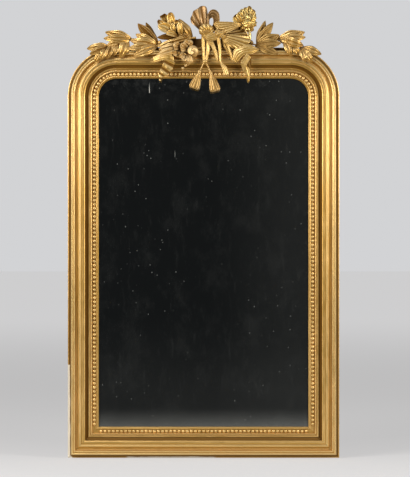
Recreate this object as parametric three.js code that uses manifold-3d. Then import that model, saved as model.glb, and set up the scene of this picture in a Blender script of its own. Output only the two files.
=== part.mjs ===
// Overmantel mirror: giltwood and gesso frame with rounded upper corners, old mirror glass and an openwork
// crest of laurel, blossoms and ribbon. Millimetres, +Z up, the mirror looks along -Y. The origin is the
// middle of the underside of the bottom rail, where the frame stands on its shelf.
import * as THREE from 'three';
import { mergeVertices } from 'three/addons/utils/BufferGeometryUtils.js';
import Module from 'manifold-3d';

const wasm = await Module();
wasm.setup();

// ---------------------------------------------------------------- driving dimensions
const FRAME_WIDTH = 950;
const FRAME_HEIGHT = 1435;
const CORNER_RADIUS = 63;            // of the sight edge, at the two upper corners
const CLEARANCE = 0.3;               // between pieces that are glued, nailed or laid together

const SIGHT_BEAD_WIDTH = 8;          // members of the gilt moulding, from the sight edge out
const BEAD_CHANNEL_WIDTH = 13.4;
const ASTRAGAL_WIDTH = 8.2;
const FILLET_WIDTH = 5.8;
const COVE_WIDTH = 10.8;
const LOWER_ROLL_WIDTH = 12.4;
const UPPER_ROLL_WIDTH = 12.8;
const HOLLOW_WIDTH = 10.8;
const LOWER_REED_WIDTH = 6;
const UPPER_REED_WIDTH = 8;
const BACK_COVE_WIDTH = 8.4;
const BACK_FILLET_WIDTH = 3;
const CARCASS_MARGIN = 0.4;          // of the carcass past the moulding's back edge

const CARCASS_FRONT_LAYER = 15;      // thickness of the carcass in front of the backboards
const CARCASS_BACK_LAYER = 9;
const GLASS_REBATE = 12;             // from the sight edge out to the front layer
const BOARD_REBATE = 24;             // from the sight edge out to the back layer
const GLASS_OVERLAP = 9;             // of the glass behind the sight edge
const GLASS_THICKNESS = 4;
const BOARD_THICKNESS = 7;
const BOARD_COUNT = 3;

const TENON_LENGTH = 50;
const TENON_WIDTH = 40;
const TENON_THICKNESS = 8;
const TENON_DEPTH_IN_FACE = 4;       // from the front of the carcass to the tenon

const BEAD_PITCH = 14.3;
const BEAD_RADIUS = 6;
const BEAD_CHANNEL_FLOOR = 6;        // height of the channel floor above the carcass
const BEAD_STRIP_THICKNESS = 1.8;

const NAIL_SHANK_RADIUS = 0.9;
const NAIL_HEAD_RADIUS = 3;
const NAIL_HEAD_THICKNESS = 1;
const NAIL_GRIP = 8;                 // length of the nail in the carcass

const HANGER_BELOW_TENON = 3;        // from the stile's tenon down to the middle of the upper screw
const HANGER_WIRE_RADIUS = 2;
const HANGER_RING_WIDTH = 34;        // between the middles of the ring's two sides
const HANGER_RING_DROP = 26;         // from the pivot to the middle of the ring's lowest part
const HANGER_RING_CORNER = 11;
const HANGER_EYE_WALL = 2;
const HANGER_EYE_LENGTH = 18;
const HANGER_EYE_DEPTH = 5.2;        // of the pivot in from the frame's back
const HANGER_STRAP_THICKNESS = 2.4;
const HANGER_STRAP_MARGIN = 12;       // of the strap past the middle of its upper screw
const POCKET_DEPTH = 10.4;
const POCKET_MARGIN = 3;             // round the folded ring
const POCKET_ABOVE_PIVOT = 9;
const SCREW_HEAD_RADIUS = 3.6;
const SCREW_HEAD_THICKNESS = 1.6;
const SCREW_SHANK_RADIUS = 1.7;
const SCREW_LENGTH = 14;
const SCREW_FIRST = 24;              // from the pivot up to the lower screw
const SCREW_SPACING = 32;

const BACKING_LEFT = -96;            // ends, top and thickness of the board behind the bouquet
const BACKING_RIGHT = 134;
const BACKING_HEIGHT = 32;
const BACKING_THICKNESS = 16;

// ---------------------------------------------------------------- places worked out from them
const CARCASS_THICKNESS = CARCASS_FRONT_LAYER + CARCASS_BACK_LAYER;
const BACK = CARCASS_THICKNESS / 2;                  // Y of the frame's back
const FACE = -CARCASS_THICKNESS / 2;                 // Y of the carcass's front
const LAP = FACE + CARCASS_FRONT_LAYER;              // Y where the back layer starts
const OUTER_X = FRAME_WIDTH / 2;

// Members of the moulding: width, then shape as [share of the width, height above the carcass].
const MEMBERS = [
  [SIGHT_BEAD_WIDTH, [[0, 0], [0, 6], [0.19, 9.2], [0.56, 10.2], [0.9, 9.4], [1, BEAD_CHANNEL_FLOOR]]],
  [BEAD_CHANNEL_WIDTH, [[1, BEAD_CHANNEL_FLOOR]]],
  [ASTRAGAL_WIDTH, [[0.05, 12], [0.24, 15.4], [0.49, 16.2], [0.76, 15.2], [0.93, 12.4], [1, 14.4]]],
  [FILLET_WIDTH, [[0.9, 15], [1, 10.6]]],
  [COVE_WIDTH, [[0.3, 10.8], [0.61, 13.4], [0.85, 18.2], [1, 25]]],
  [LOWER_ROLL_WIDTH, [[0.15, 28.6], [0.39, 31], [0.68, 31.6], [0.89, 30.4], [1, 28.6]]],
  [UPPER_ROLL_WIDTH, [[0.14, 31.4], [0.41, 33.4], [0.69, 33], [0.89, 30.8], [1, 27.6]]],
  [HOLLOW_WIDTH, [[0.39, 26.6], [0.76, 28.6], [0.93, 32], [1, 37]]],
  [LOWER_REED_WIDTH, [[0.37, 40.4], [0.77, 40.2], [1, 38]]],
  [UPPER_REED_WIDTH, [[0.2, 41], [0.55, 42], [0.85, 39.8], [1, 35.6]]],
  [BACK_COVE_WIDTH, [[0.1, 29], [0.31, 21], [0.62, 14.6], [0.95, 11.2], [1, 9]]],
  [BACK_FILLET_WIDTH, [[1, 8.4], [1, 0]]],
];
// Section of the whole moulding: distance out from the sight edge, height above the carcass.
const widthUpTo = (count) => MEMBERS.slice(0, count).reduce((sum, [width]) => sum + width, 0);
const SECTION = MEMBERS.flatMap(([width, shape], i) => (
  shape.map(([share, height]) => [widthUpTo(i) + share * width, height])));
const MOULDING_WIDTH = widthUpTo(MEMBERS.length) + CARCASS_MARGIN;
const BEAD_LINE = SIGHT_BEAD_WIDTH + BEAD_CHANNEL_WIDTH / 2;   // from the sight edge to the pearls' middle

const SIGHT_X = OUTER_X - MOULDING_WIDTH;
const SIGHT_BOTTOM = MOULDING_WIDTH;
const SIGHT_TOP = FRAME_HEIGHT - MOULDING_WIDTH;
const CORNER_X = SIGHT_X - CORNER_RADIUS;            // middle of the upper corners' arcs
const CORNER_Z = SIGHT_TOP - CORNER_RADIUS;
const GLASS_FRONT = FACE;
const GLASS_BACK = GLASS_FRONT + GLASS_THICKNESS;
const TENON_FOOT = CORNER_Z - TENON_LENGTH / 2;      // Z of the lower end of the tenons in the stiles
const HANGER_STRAP_LENGTH = SCREW_FIRST + SCREW_SPACING + HANGER_STRAP_MARGIN;
const HANGER_HEIGHT = TENON_FOOT - HANGER_BELOW_TENON - SCREW_SPACING - SCREW_FIRST;   // of the pivots

// ---------------------------------------------------------------- finishes
const finish = (color, roughness, metalness) => ({ color, roughness, metalness });
const GILT = finish(0xc9994f, 0.38, 0.85);
const PEARL_GILT = finish(0xd9ad66, 0.36, 0.85);
const ORNAMENT_GILT = finish(0xd0a35c, 0.42, 0.8);
const PINE = finish(0x9a7448, 0.85, 0);
const MIRROR = finish(0x1b1f1d, 0.08, 1);
const IRON = finish(0x3d3a36, 0.6, 0.9);

const root = new THREE.Group();

function addMesh(name, geometry, look, parent = root) {
  const mesh = new THREE.Mesh(geometry, new THREE.MeshStandardMaterial(look));
  mesh.name = name;
  parent.add(mesh);
  return mesh;
}

// ---------------------------------------------------------------- solids
function meshGeometry(points, triangles) {
  const geometry = new THREE.BufferGeometry();
  geometry.setAttribute('position', new THREE.Float32BufferAttribute(points.flat(), 3));
  geometry.setIndex(triangles.flat());
  return outward(geometry);
}

// Turns the faces round when the solid's volume comes out negative.
function outward(geometry) {
  const at = geometry.attributes.position;
  const index = geometry.index.array;
  const corner = [new THREE.Vector3(), new THREE.Vector3(), new THREE.Vector3()];
  let volume = 0;
  for (let i = 0; i < index.length; i += 3) {
    corner.forEach((vector, k) => vector.fromBufferAttribute(at, index[i + k]));
    volume += corner[0].dot(corner[1].clone().cross(corner[2]));
  }
  if (volume < 0) {
    for (let i = 0; i < index.length; i += 3) {
      [index[i + 1], index[i + 2]] = [index[i + 2], index[i + 1]];
    }
  }
  return geometry;
}

function toSolid(geometry) {
  const bare = geometry.clone();
  bare.deleteAttribute('normal');
  bare.deleteAttribute('uv');
  const merged = outward(mergeVertices(bare, 1e-4));
  return new wasm.Manifold(new wasm.Mesh({
    numProp: 3,
    vertProperties: new Float32Array(merged.attributes.position.array),
    triVerts: new Uint32Array(merged.index.array),
  }));
}

function toGeometry(solid) {
  const mesh = solid.getMesh();
  const geometry = new THREE.BufferGeometry();
  geometry.setAttribute('position', new THREE.BufferAttribute(new Float32Array(mesh.vertProperties), 3));
  geometry.setIndex(new THREE.BufferAttribute(new Uint32Array(mesh.triVerts), 1));
  return geometry;
}

const join = (...geometries) => toGeometry(geometries.map(toSolid).reduce((sum, next) => sum.add(next)));
const cut = (geometry, ...tools) => toGeometry(
  tools.map(toSolid).reduce((rest, tool) => rest.subtract(tool), toSolid(geometry)));

// Keeps the largest connected body: a cut can leave slivers of a leaf on the far side of another piece.
function largestBody(geometry) {
  const index = geometry.index.array;
  const parent = Array.from({ length: geometry.attributes.position.count }, (_, i) => i);
  const find = (i) => {
    let top = i;
    while (parent[top] !== top) top = parent[top];
    parent[i] = top;
    return top;
  };
  for (let i = 0; i < index.length; i += 3) {
    parent[find(index[i + 1])] = find(index[i]);
    parent[find(index[i + 2])] = find(index[i]);
  }
  const bodies = new Map();
  for (let i = 0; i < index.length; i += 3) {
    const key = find(index[i]);
    if (!bodies.has(key)) bodies.set(key, []);
    bodies.get(key).push(index[i], index[i + 1], index[i + 2]);
  }
  const largest = [...bodies.values()].reduce((best, next) => (next.length > best.length ? next : best));
  const kept = geometry.clone();
  kept.setIndex(largest);
  return compact(kept);
}

// Drops the points that no face uses any more.
function compact(geometry) {
  const at = geometry.attributes.position;
  const renumbered = new Map();
  const points = [];
  const index = Array.from(geometry.index.array, (old) => {
    if (!renumbered.has(old)) {
      renumbered.set(old, points.length);
      points.push([at.getX(old), at.getY(old), at.getZ(old)]);
    }
    return renumbered.get(old);
  });
  return meshGeometry(points, [index]);
}

function box(x0, x1, y0, y1, z0, z1) {
  const geometry = new THREE.BoxGeometry(x1 - x0, y1 - y0, z1 - z0);
  geometry.translate((x0 + x1) / 2, (y0 + y1) / 2, (z0 + z1) / 2);
  return geometry;
}

// A cylinder along Y from y0 to y1.
function rod(x, z, radius, y0, y1, sides = 12) {
  const geometry = new THREE.CylinderGeometry(radius, radius, y1 - y0, sides);
  geometry.translate(x, (y0 + y1) / 2, z);
  return geometry;
}

// Sweeps a closed section through stations. A station has the sight edge's place and the way out from it,
// so a slanting way out makes a mitre.
function sweep(outlined, stations) {
  const outline = outlined.map(([distance, height]) => new THREE.Vector2(distance, height));
  const turnsBack = THREE.ShapeUtils.isClockWise(outline);
  const section = turnsBack ? [...outlined].reverse() : outlined;
  if (turnsBack) outline.reverse();
  const points = stations.flatMap(({ x, z, outX, outZ }) => section.map(
    ([distance, height]) => [x + distance * outX, FACE - height, z + distance * outZ]));
  const count = section.length;
  const triangles = [];
  for (let s = 0; s + 1 < stations.length; s += 1) {
    for (let i = 0; i < count; i += 1) {
      const [a, b] = [s * count + i, s * count + ((i + 1) % count)];
      triangles.push([a, b, b + count], [a, b + count, a + count]);
    }
  }
  const last = (stations.length - 1) * count;
  THREE.ShapeUtils.triangulateShape(outline, []).forEach(([a, b, c]) => {
    triangles.push([c, b, a], [last + a, last + b, last + c]);
  });
  return meshGeometry(points, triangles);
}

// The six runs round the frame, each as the stations of its sight edge. side is -1 left, 1 right.
const CORNER_STEPS = 10;
const runs = {
  side: (side) => [
    { x: side * SIGHT_X, z: SIGHT_BOTTOM, outX: side, outZ: -1 },
    { x: side * SIGHT_X, z: CORNER_Z, outX: side, outZ: 0 },
  ],
  bottom: () => [
    { x: -SIGHT_X, z: SIGHT_BOTTOM, outX: -1, outZ: -1 },
    { x: SIGHT_X, z: SIGHT_BOTTOM, outX: 1, outZ: -1 },
  ],
  top: () => [
    { x: -CORNER_X, z: SIGHT_TOP, outX: 0, outZ: 1 },
    { x: CORNER_X, z: SIGHT_TOP, outX: 0, outZ: 1 },
  ],
  corner: (side) => Array.from({ length: CORNER_STEPS + 1 }, (_, step) => {
    const angle = (Math.PI / 2) * (step / CORNER_STEPS);
    const [outX, outZ] = [side * Math.cos(angle), Math.sin(angle)];
    return { x: side * CORNER_X + CORNER_RADIUS * outX, z: CORNER_Z + CORNER_RADIUS * outZ, outX, outZ };
  }),
};

// ---------------------------------------------------------------- carcass
const tenonFaces = [FACE + TENON_DEPTH_IN_FACE, FACE + TENON_DEPTH_IN_FACE + TENON_THICKNESS];
const tenonMiddle = (GLASS_REBATE + MOULDING_WIDTH) / 2;

function stileTenon(side, slack = 0) {
  const x = side * (SIGHT_X + tenonMiddle);
  return box(x - TENON_WIDTH / 2 - slack, x + TENON_WIDTH / 2 + slack, tenonFaces[0] - slack,
    tenonFaces[1] + slack, TENON_FOOT - slack, CORNER_Z + TENON_LENGTH / 2 + slack);
}

function railTenon(side, slack = 0) {
  const z = SIGHT_TOP + tenonMiddle;
  const x = side * CORNER_X;
  return box(x - TENON_LENGTH / 2 - slack, x + TENON_LENGTH / 2 + slack, tenonFaces[0] - slack,
    tenonFaces[1] + slack, z - TENON_WIDTH / 2 - slack, z + TENON_WIDTH / 2 + slack);
}

const ordered = (a, b) => (a < b ? [a, b] : [b, a]);

// The lower corner is a half lap: the rail has the front layer there and the stile the back one.
function stile(side) {
  const [fx0, fx1] = ordered(side * (SIGHT_X + GLASS_REBATE), side * OUTER_X);
  const [bx0, bx1] = ordered(side * (SIGHT_X + BOARD_REBATE), side * OUTER_X);
  const railTop = SIGHT_BOTTOM - GLASS_REBATE;
  return join(
    box(fx0, fx1, FACE, LAP + 0.2, railTop + CLEARANCE, CORNER_Z - CLEARANCE / 2),
    box(bx0, bx1, LAP, BACK, 0, CORNER_Z - CLEARANCE / 2));
}

function bottomRail() {
  const inner = SIGHT_X + BOARD_REBATE - CLEARANCE;
  const front = LAP - CLEARANCE;
  return join(
    box(-OUTER_X, OUTER_X, FACE, front, 0, SIGHT_BOTTOM - GLASS_REBATE),
    box(-inner, inner, front - 0.2, BACK, 0, SIGHT_BOTTOM - BOARD_REBATE));
}

function topRail() {
  const half = CORNER_X - CLEARANCE / 2;
  return join(
    box(-half, half, FACE, LAP + 0.2, SIGHT_TOP + GLASS_REBATE, FRAME_HEIGHT),
    box(-half, half, LAP, BACK, SIGHT_TOP + BOARD_REBATE, FRAME_HEIGHT));
}

const CARCASS_SECTION = [
  [GLASS_REBATE, 0], [MOULDING_WIDTH, 0], [MOULDING_WIDTH, -CARCASS_THICKNESS],
  [BOARD_REBATE, -CARCASS_THICKNESS], [BOARD_REBATE, -CARCASS_FRONT_LAYER],
  [GLASS_REBATE, -CARCASS_FRONT_LAYER],
];

// ---------------------------------------------------------------- nails and boards
const boardLeft = -(SIGHT_X + BOARD_REBATE - CLEARANCE);
const boardWidth = (-2 * boardLeft - (BOARD_COUNT - 1) * CLEARANCE) / BOARD_COUNT;
const boardBottom = SIGHT_BOTTOM - BOARD_REBATE + CLEARANCE;
const boardTop = SIGHT_TOP + BOARD_REBATE - CLEARANCE;
const boardFront = LAP + 2 * CLEARANCE;
const boardBack = boardFront + BOARD_THICKNESS;
const nailInset = (GLASS_REBATE + BOARD_REBATE) / 2;
const nailPlaces = [SIGHT_BOTTOM - nailInset, SIGHT_TOP + nailInset];
const boardMiddle = (index) => boardLeft + boardWidth * (index + 0.5) + CLEARANCE * index;

function nail(x, z) {
  return join(
    rod(x, z, NAIL_SHANK_RADIUS, LAP - NAIL_GRIP, boardBack + 0.5, 8),
    rod(x, z, NAIL_HEAD_RADIUS, boardBack, boardBack + NAIL_HEAD_THICKNESS, 12));
}

const nailHole = (x, z) => rod(
  x, z, NAIL_SHANK_RADIUS + CLEARANCE, LAP - NAIL_GRIP - CLEARANCE, boardBack + 1, 8);

function backboard(index) {
  const [x0, x1] = [boardMiddle(index) - boardWidth / 2, boardMiddle(index) + boardWidth / 2];
  const radius = CORNER_RADIUS + BOARD_REBATE - CLEARANCE;
  const outline = new THREE.Shape();
  outline.moveTo(x0, boardBottom);
  outline.lineTo(x1, boardBottom);
  if (index === BOARD_COUNT - 1) {
    outline.lineTo(x1, boardTop - radius);
    outline.absarc(x1 - radius, boardTop - radius, radius, 0, Math.PI / 2, false);
  } else {
    outline.lineTo(x1, boardTop);
  }
  if (index === 0) {
    outline.lineTo(x0 + radius, boardTop);
    outline.absarc(x0 + radius, boardTop - radius, radius, Math.PI / 2, Math.PI, false);
  } else {
    outline.lineTo(x0, boardTop);
  }
  outline.closePath();
  const board = slab(outline, boardFront, boardBack);
  return cut(board, ...nailPlaces.map((z) => nailHole(boardMiddle(index), z)));
}

// A flat piece with an outline in the frame's plane, from y0 back to y1.
function slab(outline, y0, y1, curveSegments = 12) {
  const geometry = new THREE.ExtrudeGeometry(outline, { depth: y1 - y0, bevelEnabled: false, curveSegments });
  geometry.rotateX(Math.PI / 2);
  geometry.translate(0, y1, 0);
  return geometry;
}

function glassOutline() {
  const x = SIGHT_X + GLASS_OVERLAP;
  const radius = CORNER_RADIUS + GLASS_OVERLAP;
  const [bottom, top] = [SIGHT_BOTTOM - GLASS_OVERLAP, SIGHT_TOP + GLASS_OVERLAP];
  const outline = new THREE.Shape();
  outline.moveTo(-x, bottom);
  outline.lineTo(x, bottom);
  outline.lineTo(x, top - radius);
  outline.absarc(x - radius, top - radius, radius, 0, Math.PI / 2, false);
  outline.lineTo(-x + radius, top);
  outline.absarc(-x + radius, top - radius, radius, Math.PI / 2, Math.PI, false);
  outline.closePath();
  return outline;
}

// ---------------------------------------------------------------- hanging hardware
const hangerX = SIGHT_X + (BOARD_REBATE + MOULDING_WIDTH) / 2;
const pivotY = BACK - HANGER_EYE_DEPTH;
const eyeBore = HANGER_WIRE_RADIUS + CLEARANCE;
const eyeRadius = eyeBore + HANGER_EYE_WALL;
const pocketHalf = HANGER_RING_WIDTH / 2 + HANGER_WIRE_RADIUS + POCKET_MARGIN;
const strapHalf = HANGER_EYE_LENGTH / 2;
const strapFaces = [BACK - CLEARANCE - HANGER_STRAP_THICKNESS, BACK - CLEARANCE];
const screwHeights = [SCREW_FIRST, SCREW_FIRST + SCREW_SPACING].map((rise) => HANGER_HEIGHT + rise);

function cylinderX(radius, x0, x1, y, z, sides) {
  const geometry = new THREE.CylinderGeometry(radius, radius, x1 - x0, sides);
  geometry.rotateZ(Math.PI / 2);
  geometry.translate((x0 + x1) / 2, y, z);
  return geometry;
}

function hangerPockets(side) {
  const x = side * hangerX;
  const drop = HANGER_RING_DROP + HANGER_WIRE_RADIUS + POCKET_MARGIN;
  return [
    box(x - pocketHalf, x + pocketHalf, BACK - POCKET_DEPTH, BACK + 1, HANGER_HEIGHT - drop,
      HANGER_HEIGHT + POCKET_ABOVE_PIVOT),
    box(x - strapHalf - CLEARANCE, x + strapHalf + CLEARANCE, strapFaces[0] - CLEARANCE, BACK + 1,
      HANGER_HEIGHT, HANGER_HEIGHT + HANGER_STRAP_LENGTH + CLEARANCE),
    ...screwHeights.map((z) => rod(x, z, SCREW_SHANK_RADIUS + CLEARANCE,
      strapFaces[1] - SCREW_LENGTH - CLEARANCE, BACK, 10)),
  ];
}

function hangerStrap(side) {
  const x = side * hangerX;
  const body = join(
    box(x - strapHalf, x + strapHalf, strapFaces[0], strapFaces[1], HANGER_HEIGHT,
      HANGER_HEIGHT + HANGER_STRAP_LENGTH),
    cylinderX(eyeRadius, x - strapHalf, x + strapHalf, pivotY, HANGER_HEIGHT, 20));
  return cut(body,
    cylinderX(eyeBore, x - strapHalf - 1, x + strapHalf + 1, pivotY, HANGER_HEIGHT, 16),
    ...screwHeights.map((z) => rod(x, z, SCREW_SHANK_RADIUS + CLEARANCE, strapFaces[0] - 1, BACK, 10)),
    ...screwHeights.map((z) => rod(x, z, SCREW_HEAD_RADIUS + CLEARANCE,
      strapFaces[1] - SCREW_HEAD_THICKNESS - CLEARANCE, BACK, 12)));
}

function hangerScrew(side, z) {
  const x = side * hangerX;
  const top = strapFaces[1];
  const head = rod(x, z, SCREW_HEAD_RADIUS, top - SCREW_HEAD_THICKNESS, top, 12);
  const shank = rod(x, z, SCREW_SHANK_RADIUS, top - SCREW_LENGTH, top - SCREW_HEAD_THICKNESS / 2, 10);
  const slot = box(x - SCREW_HEAD_RADIUS - 1, x + SCREW_HEAD_RADIUS + 1, top - 0.7, top + 1, z - 0.5, z + 0.5);
  return cut(join(head, shank), slot);
}

// A closed D of round wire whose straight side runs through the strap's eye.
function hangingRing(side) {
  const half = HANGER_RING_WIDTH / 2;
  const corner = HANGER_RING_CORNER;
  const path = new THREE.CurvePath();
  const point = (x, z) => new THREE.Vector3(side * hangerX + x, pivotY, HANGER_HEIGHT + z);
  const line = (from, to) => path.add(new THREE.LineCurve3(point(...from), point(...to)));
  const bend = (from, control, to) => path.add(
    new THREE.QuadraticBezierCurve3(point(...from), point(...control), point(...to)));
  const small = 3;
  line([0, 0], [half - small, 0]);
  bend([half - small, 0], [half, 0], [half, -small]);
  line([half, -small], [half, corner - HANGER_RING_DROP]);
  bend([half, corner - HANGER_RING_DROP], [half, -HANGER_RING_DROP], [half - corner, -HANGER_RING_DROP]);
  line([half - corner, -HANGER_RING_DROP], [corner - half, -HANGER_RING_DROP]);
  bend([corner - half, -HANGER_RING_DROP], [-half, -HANGER_RING_DROP], [-half, corner - HANGER_RING_DROP]);
  line([-half, corner - HANGER_RING_DROP], [-half, -small]);
  bend([-half, -small], [-half, 0], [small - half, 0]);
  line([small - half, 0], [0, 0]);
  return closedTube(path, HANGER_WIRE_RADIUS, 36, 8);
}

// A closed loop of round wire that lies in one XZ plane.
function closedTube(path, radius, steps, sides) {
  const points = [];
  for (let step = 0; step < steps; step += 1) {
    const at = path.getPointAt(step / steps);
    const along = path.getTangentAt(step / steps);
    const across = new THREE.Vector3(-along.z, 0, along.x);
    for (let i = 0; i < sides; i += 1) {
      const angle = (2 * Math.PI * i) / sides;
      const place = at.clone().addScaledVector(across, radius * Math.cos(angle));
      points.push([place.x, place.y + radius * Math.sin(angle), place.z]);
    }
  }
  const triangles = [];
  for (let step = 0; step < steps; step += 1) {
    for (let i = 0; i < sides; i += 1) {
      const here = step * sides;
      const next = ((step + 1) % steps) * sides;
      const j = (i + 1) % sides;
      triangles.push([here + i, here + j, next + j], [here + i, next + j, next + i]);
    }
  }
  return meshGeometry(points, triangles);
}

// ---------------------------------------------------------------- pearls
// A pearl is a six-sided dome whose foot is sunk in its strip.
function pearl(x, z) {
  const foot = BEAD_CHANNEL_FLOOR + CLEARANCE + BEAD_STRIP_THICKNESS;
  const rings = [[BEAD_RADIUS, -0.8], [BEAD_RADIUS * 0.76, 3.4]];
  const points = [[x, FACE - foot + 0.8, z]];
  rings.forEach(([radius, rise]) => {
    for (let i = 0; i < 6; i += 1) {
      const angle = (Math.PI / 3) * i;
      points.push([x + radius * Math.cos(angle), FACE - foot - rise, z + radius * Math.sin(angle)]);
    }
  });
  points.push([x, FACE - foot - 5.2, z]);
  const triangles = [];
  for (let i = 0; i < 6; i += 1) {
    const j = (i + 1) % 6;
    triangles.push([0, 1 + i, 1 + j]);
    for (let ring = 0; ring + 1 < rings.length; ring += 1) {
      const [a, b] = [1 + 6 * ring + i, 1 + 6 * ring + j];
      triangles.push([a, a + 6, b + 6], [a, b + 6, b]);
    }
    triangles.push([1 + 6 * (rings.length - 1) + i, points.length - 1, 1 + 6 * (rings.length - 1) + j]);
  }
  return meshGeometry(points, triangles);
}

function pearlStrip(stations, places) {
  const half = BEAD_CHANNEL_WIDTH / 2 - CLEARANCE;
  const bottom = BEAD_CHANNEL_FLOOR + CLEARANCE;
  const strip = sweep([
    [BEAD_LINE - half, bottom], [BEAD_LINE - half, bottom + BEAD_STRIP_THICKNESS],
    [BEAD_LINE + half, bottom + BEAD_STRIP_THICKNESS], [BEAD_LINE + half, bottom],
  ], stations);
  return join(strip, ...places.map(([x, z]) => pearl(x, z)));
}

// Evenly spaced places between two points, about a pitch apart, half a pitch in from the ends.
function spaced(from, to) {
  const length = Math.hypot(to[0] - from[0], to[1] - from[1]);
  const count = Math.round(length / BEAD_PITCH);
  return Array.from({ length: count }, (_, i) => {
    const t = (i + 0.5) / count;
    return [from[0] + (to[0] - from[0]) * t, from[1] + (to[1] - from[1]) * t];
  });
}

// Moves a run's two ends in by a little, so that neighbouring strips keep clear of each other.
function shortened(stations, gap) {
  const [a, b] = [stations[0], stations[stations.length - 1]];
  const length = Math.hypot(b.x - a.x, b.z - a.z);
  const [dx, dz] = [((b.x - a.x) / length) * gap, ((b.z - a.z) / length) * gap];
  return [{ ...a, x: a.x + dx, z: a.z + dz }, { ...b, x: b.x - dx, z: b.z - dz }];
}

// Leaves a little of each end of a corner's arc free.
function shortenedArc(side, gap) {
  const slack = gap / CORNER_RADIUS;
  return Array.from({ length: CORNER_STEPS + 1 }, (_, step) => {
    const angle = slack + (Math.PI / 2 - 2 * slack) * (step / CORNER_STEPS);
    const [outX, outZ] = [side * Math.cos(angle), Math.sin(angle)];
    return { x: side * CORNER_X + CORNER_RADIUS * outX, z: CORNER_Z + CORNER_RADIUS * outZ, outX, outZ };
  });
}

function cornerPearls(side) {
  const radius = CORNER_RADIUS + BEAD_LINE;
  const count = Math.round((radius * Math.PI) / 2 / BEAD_PITCH);
  return Array.from({ length: count }, (_, i) => {
    const angle = (Math.PI / 2) * ((i + 0.5) / count);
    return [side * (CORNER_X + radius * Math.cos(angle)), CORNER_Z + radius * Math.sin(angle)];
  });
}

// ---------------------------------------------------------------- frame pieces
const holes = (index) => nailPlaces.map((z) => nailHole(boardMiddle(index), z));
const allNailHoles = Array.from({ length: BOARD_COUNT }, (_, i) => holes(i)).flat();

for (const [label, side] of [['left', -1], ['right', 1]]) {
  addMesh(`stile_${label}`, cut(stile(side), stileTenon(side, CLEARANCE), ...hangerPockets(side)), PINE);
  addMesh(`corner_block_${label}`, cut(sweep(CARCASS_SECTION, runs.corner(side)),
    stileTenon(side, CLEARANCE), railTenon(side, CLEARANCE)), PINE);
  addMesh(`tenon_stile_${label}`, stileTenon(side), PINE);
  addMesh(`tenon_rail_${label}`, railTenon(side), PINE);
  addMesh(`hanger_strap_${label}`, hangerStrap(side), IRON);
  addMesh(`hanger_screw_lower_${label}`, hangerScrew(side, screwHeights[0]), IRON);
  addMesh(`hanger_screw_upper_${label}`, hangerScrew(side, screwHeights[1]), IRON);
  addMesh(`hanging_ring_${label}`, hangingRing(side), IRON);
}
addMesh('rail_bottom', cut(bottomRail(), ...allNailHoles), PINE);
addMesh('rail_top', cut(topRail(), railTenon(-1, CLEARANCE), railTenon(1, CLEARANCE), ...allNailHoles), PINE);

const mouldingGap = CLEARANCE / 2;
const seated = SECTION.map(([distance, height]) => [distance, height === 0 ? CLEARANCE : height]);
addMesh('moulding_left', sweep(seated, shortened(runs.side(-1), mouldingGap)), GILT);
addMesh('moulding_right', sweep(seated, shortened(runs.side(1), mouldingGap)), GILT);
addMesh('moulding_bottom', sweep(seated, shortened(runs.bottom(), mouldingGap)), GILT);
addMesh('moulding_top', sweep(seated, shortened(runs.top(), mouldingGap)), GILT);
addMesh('moulding_corner_left', sweep(seated, shortenedArc(-1, mouldingGap)), GILT);
addMesh('moulding_corner_right', sweep(seated, shortenedArc(1, mouldingGap)), GILT);

for (const [label, side] of [['left', -1], ['right', 1]]) {
  const x = side * (SIGHT_X + BEAD_LINE);
  const places = spaced([x, SIGHT_BOTTOM + BEAD_LINE * 0.2], [x, CORNER_Z]);
  addMesh(`pearls_${label}`, pearlStrip(shortened(runs.side(side), CLEARANCE), places), PEARL_GILT);
  addMesh(`pearls_corner_${label}`, pearlStrip(shortenedArc(side, CLEARANCE), cornerPearls(side)), PEARL_GILT);
}
const lowLine = SIGHT_BOTTOM - BEAD_LINE;
addMesh('pearls_bottom', pearlStrip(shortened(runs.bottom(), CLEARANCE),
  spaced([-SIGHT_X + 1, lowLine], [SIGHT_X - 1, lowLine])), PEARL_GILT);
addMesh('pearls_top', pearlStrip(shortened(runs.top(), CLEARANCE),
  spaced([-CORNER_X, SIGHT_TOP + BEAD_LINE], [CORNER_X, SIGHT_TOP + BEAD_LINE])), PEARL_GILT);

addMesh('mirror_glass', slab(glassOutline(), GLASS_FRONT, GLASS_BACK), MIRROR);
for (let index = 0; index < BOARD_COUNT; index += 1) {
  const label = ['left', 'middle', 'right'][index];
  addMesh(`backboard_${label}`, backboard(index), PINE);
  addMesh(`nail_lower_${label}`, nail(boardMiddle(index), nailPlaces[0]), IRON);
  addMesh(`nail_upper_${label}`, nail(boardMiddle(index), nailPlaces[1]), IRON);
}

// Slips of wood that press the glass forward, between the glass and the boards.
const slipInner = 1;
const slipOuter = GLASS_REBATE - CLEARANCE;
const slipY = [GLASS_BACK + CLEARANCE, LAP];
const slipLeft = SIGHT_X + slipInner;
addMesh('glass_slip_left', box(-SIGHT_X - slipOuter, -slipLeft, ...slipY,
  SIGHT_BOTTOM - slipOuter, CORNER_Z), PINE);
addMesh('glass_slip_right', box(slipLeft, SIGHT_X + slipOuter, ...slipY,
  SIGHT_BOTTOM - slipOuter, CORNER_Z), PINE);
addMesh('glass_slip_bottom', box(-slipLeft + CLEARANCE, slipLeft - CLEARANCE, ...slipY,
  SIGHT_BOTTOM - slipOuter, SIGHT_BOTTOM - slipInner), PINE);
addMesh('glass_slip_top', box(-CORNER_X, CORNER_X, ...slipY,
  SIGHT_TOP + slipInner, SIGHT_TOP + slipOuter), PINE);

// ---------------------------------------------------------------- crest: shapes
// Crest places are [x, z] with z measured from the top of the frame. Every shape takes grow, which swells
// it by that much: a piece further back is cut with the swollen copies of those in front of it.
const crest = (x, y, z) => new THREE.Vector3(x, y, FRAME_HEIGHT + z);

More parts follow.
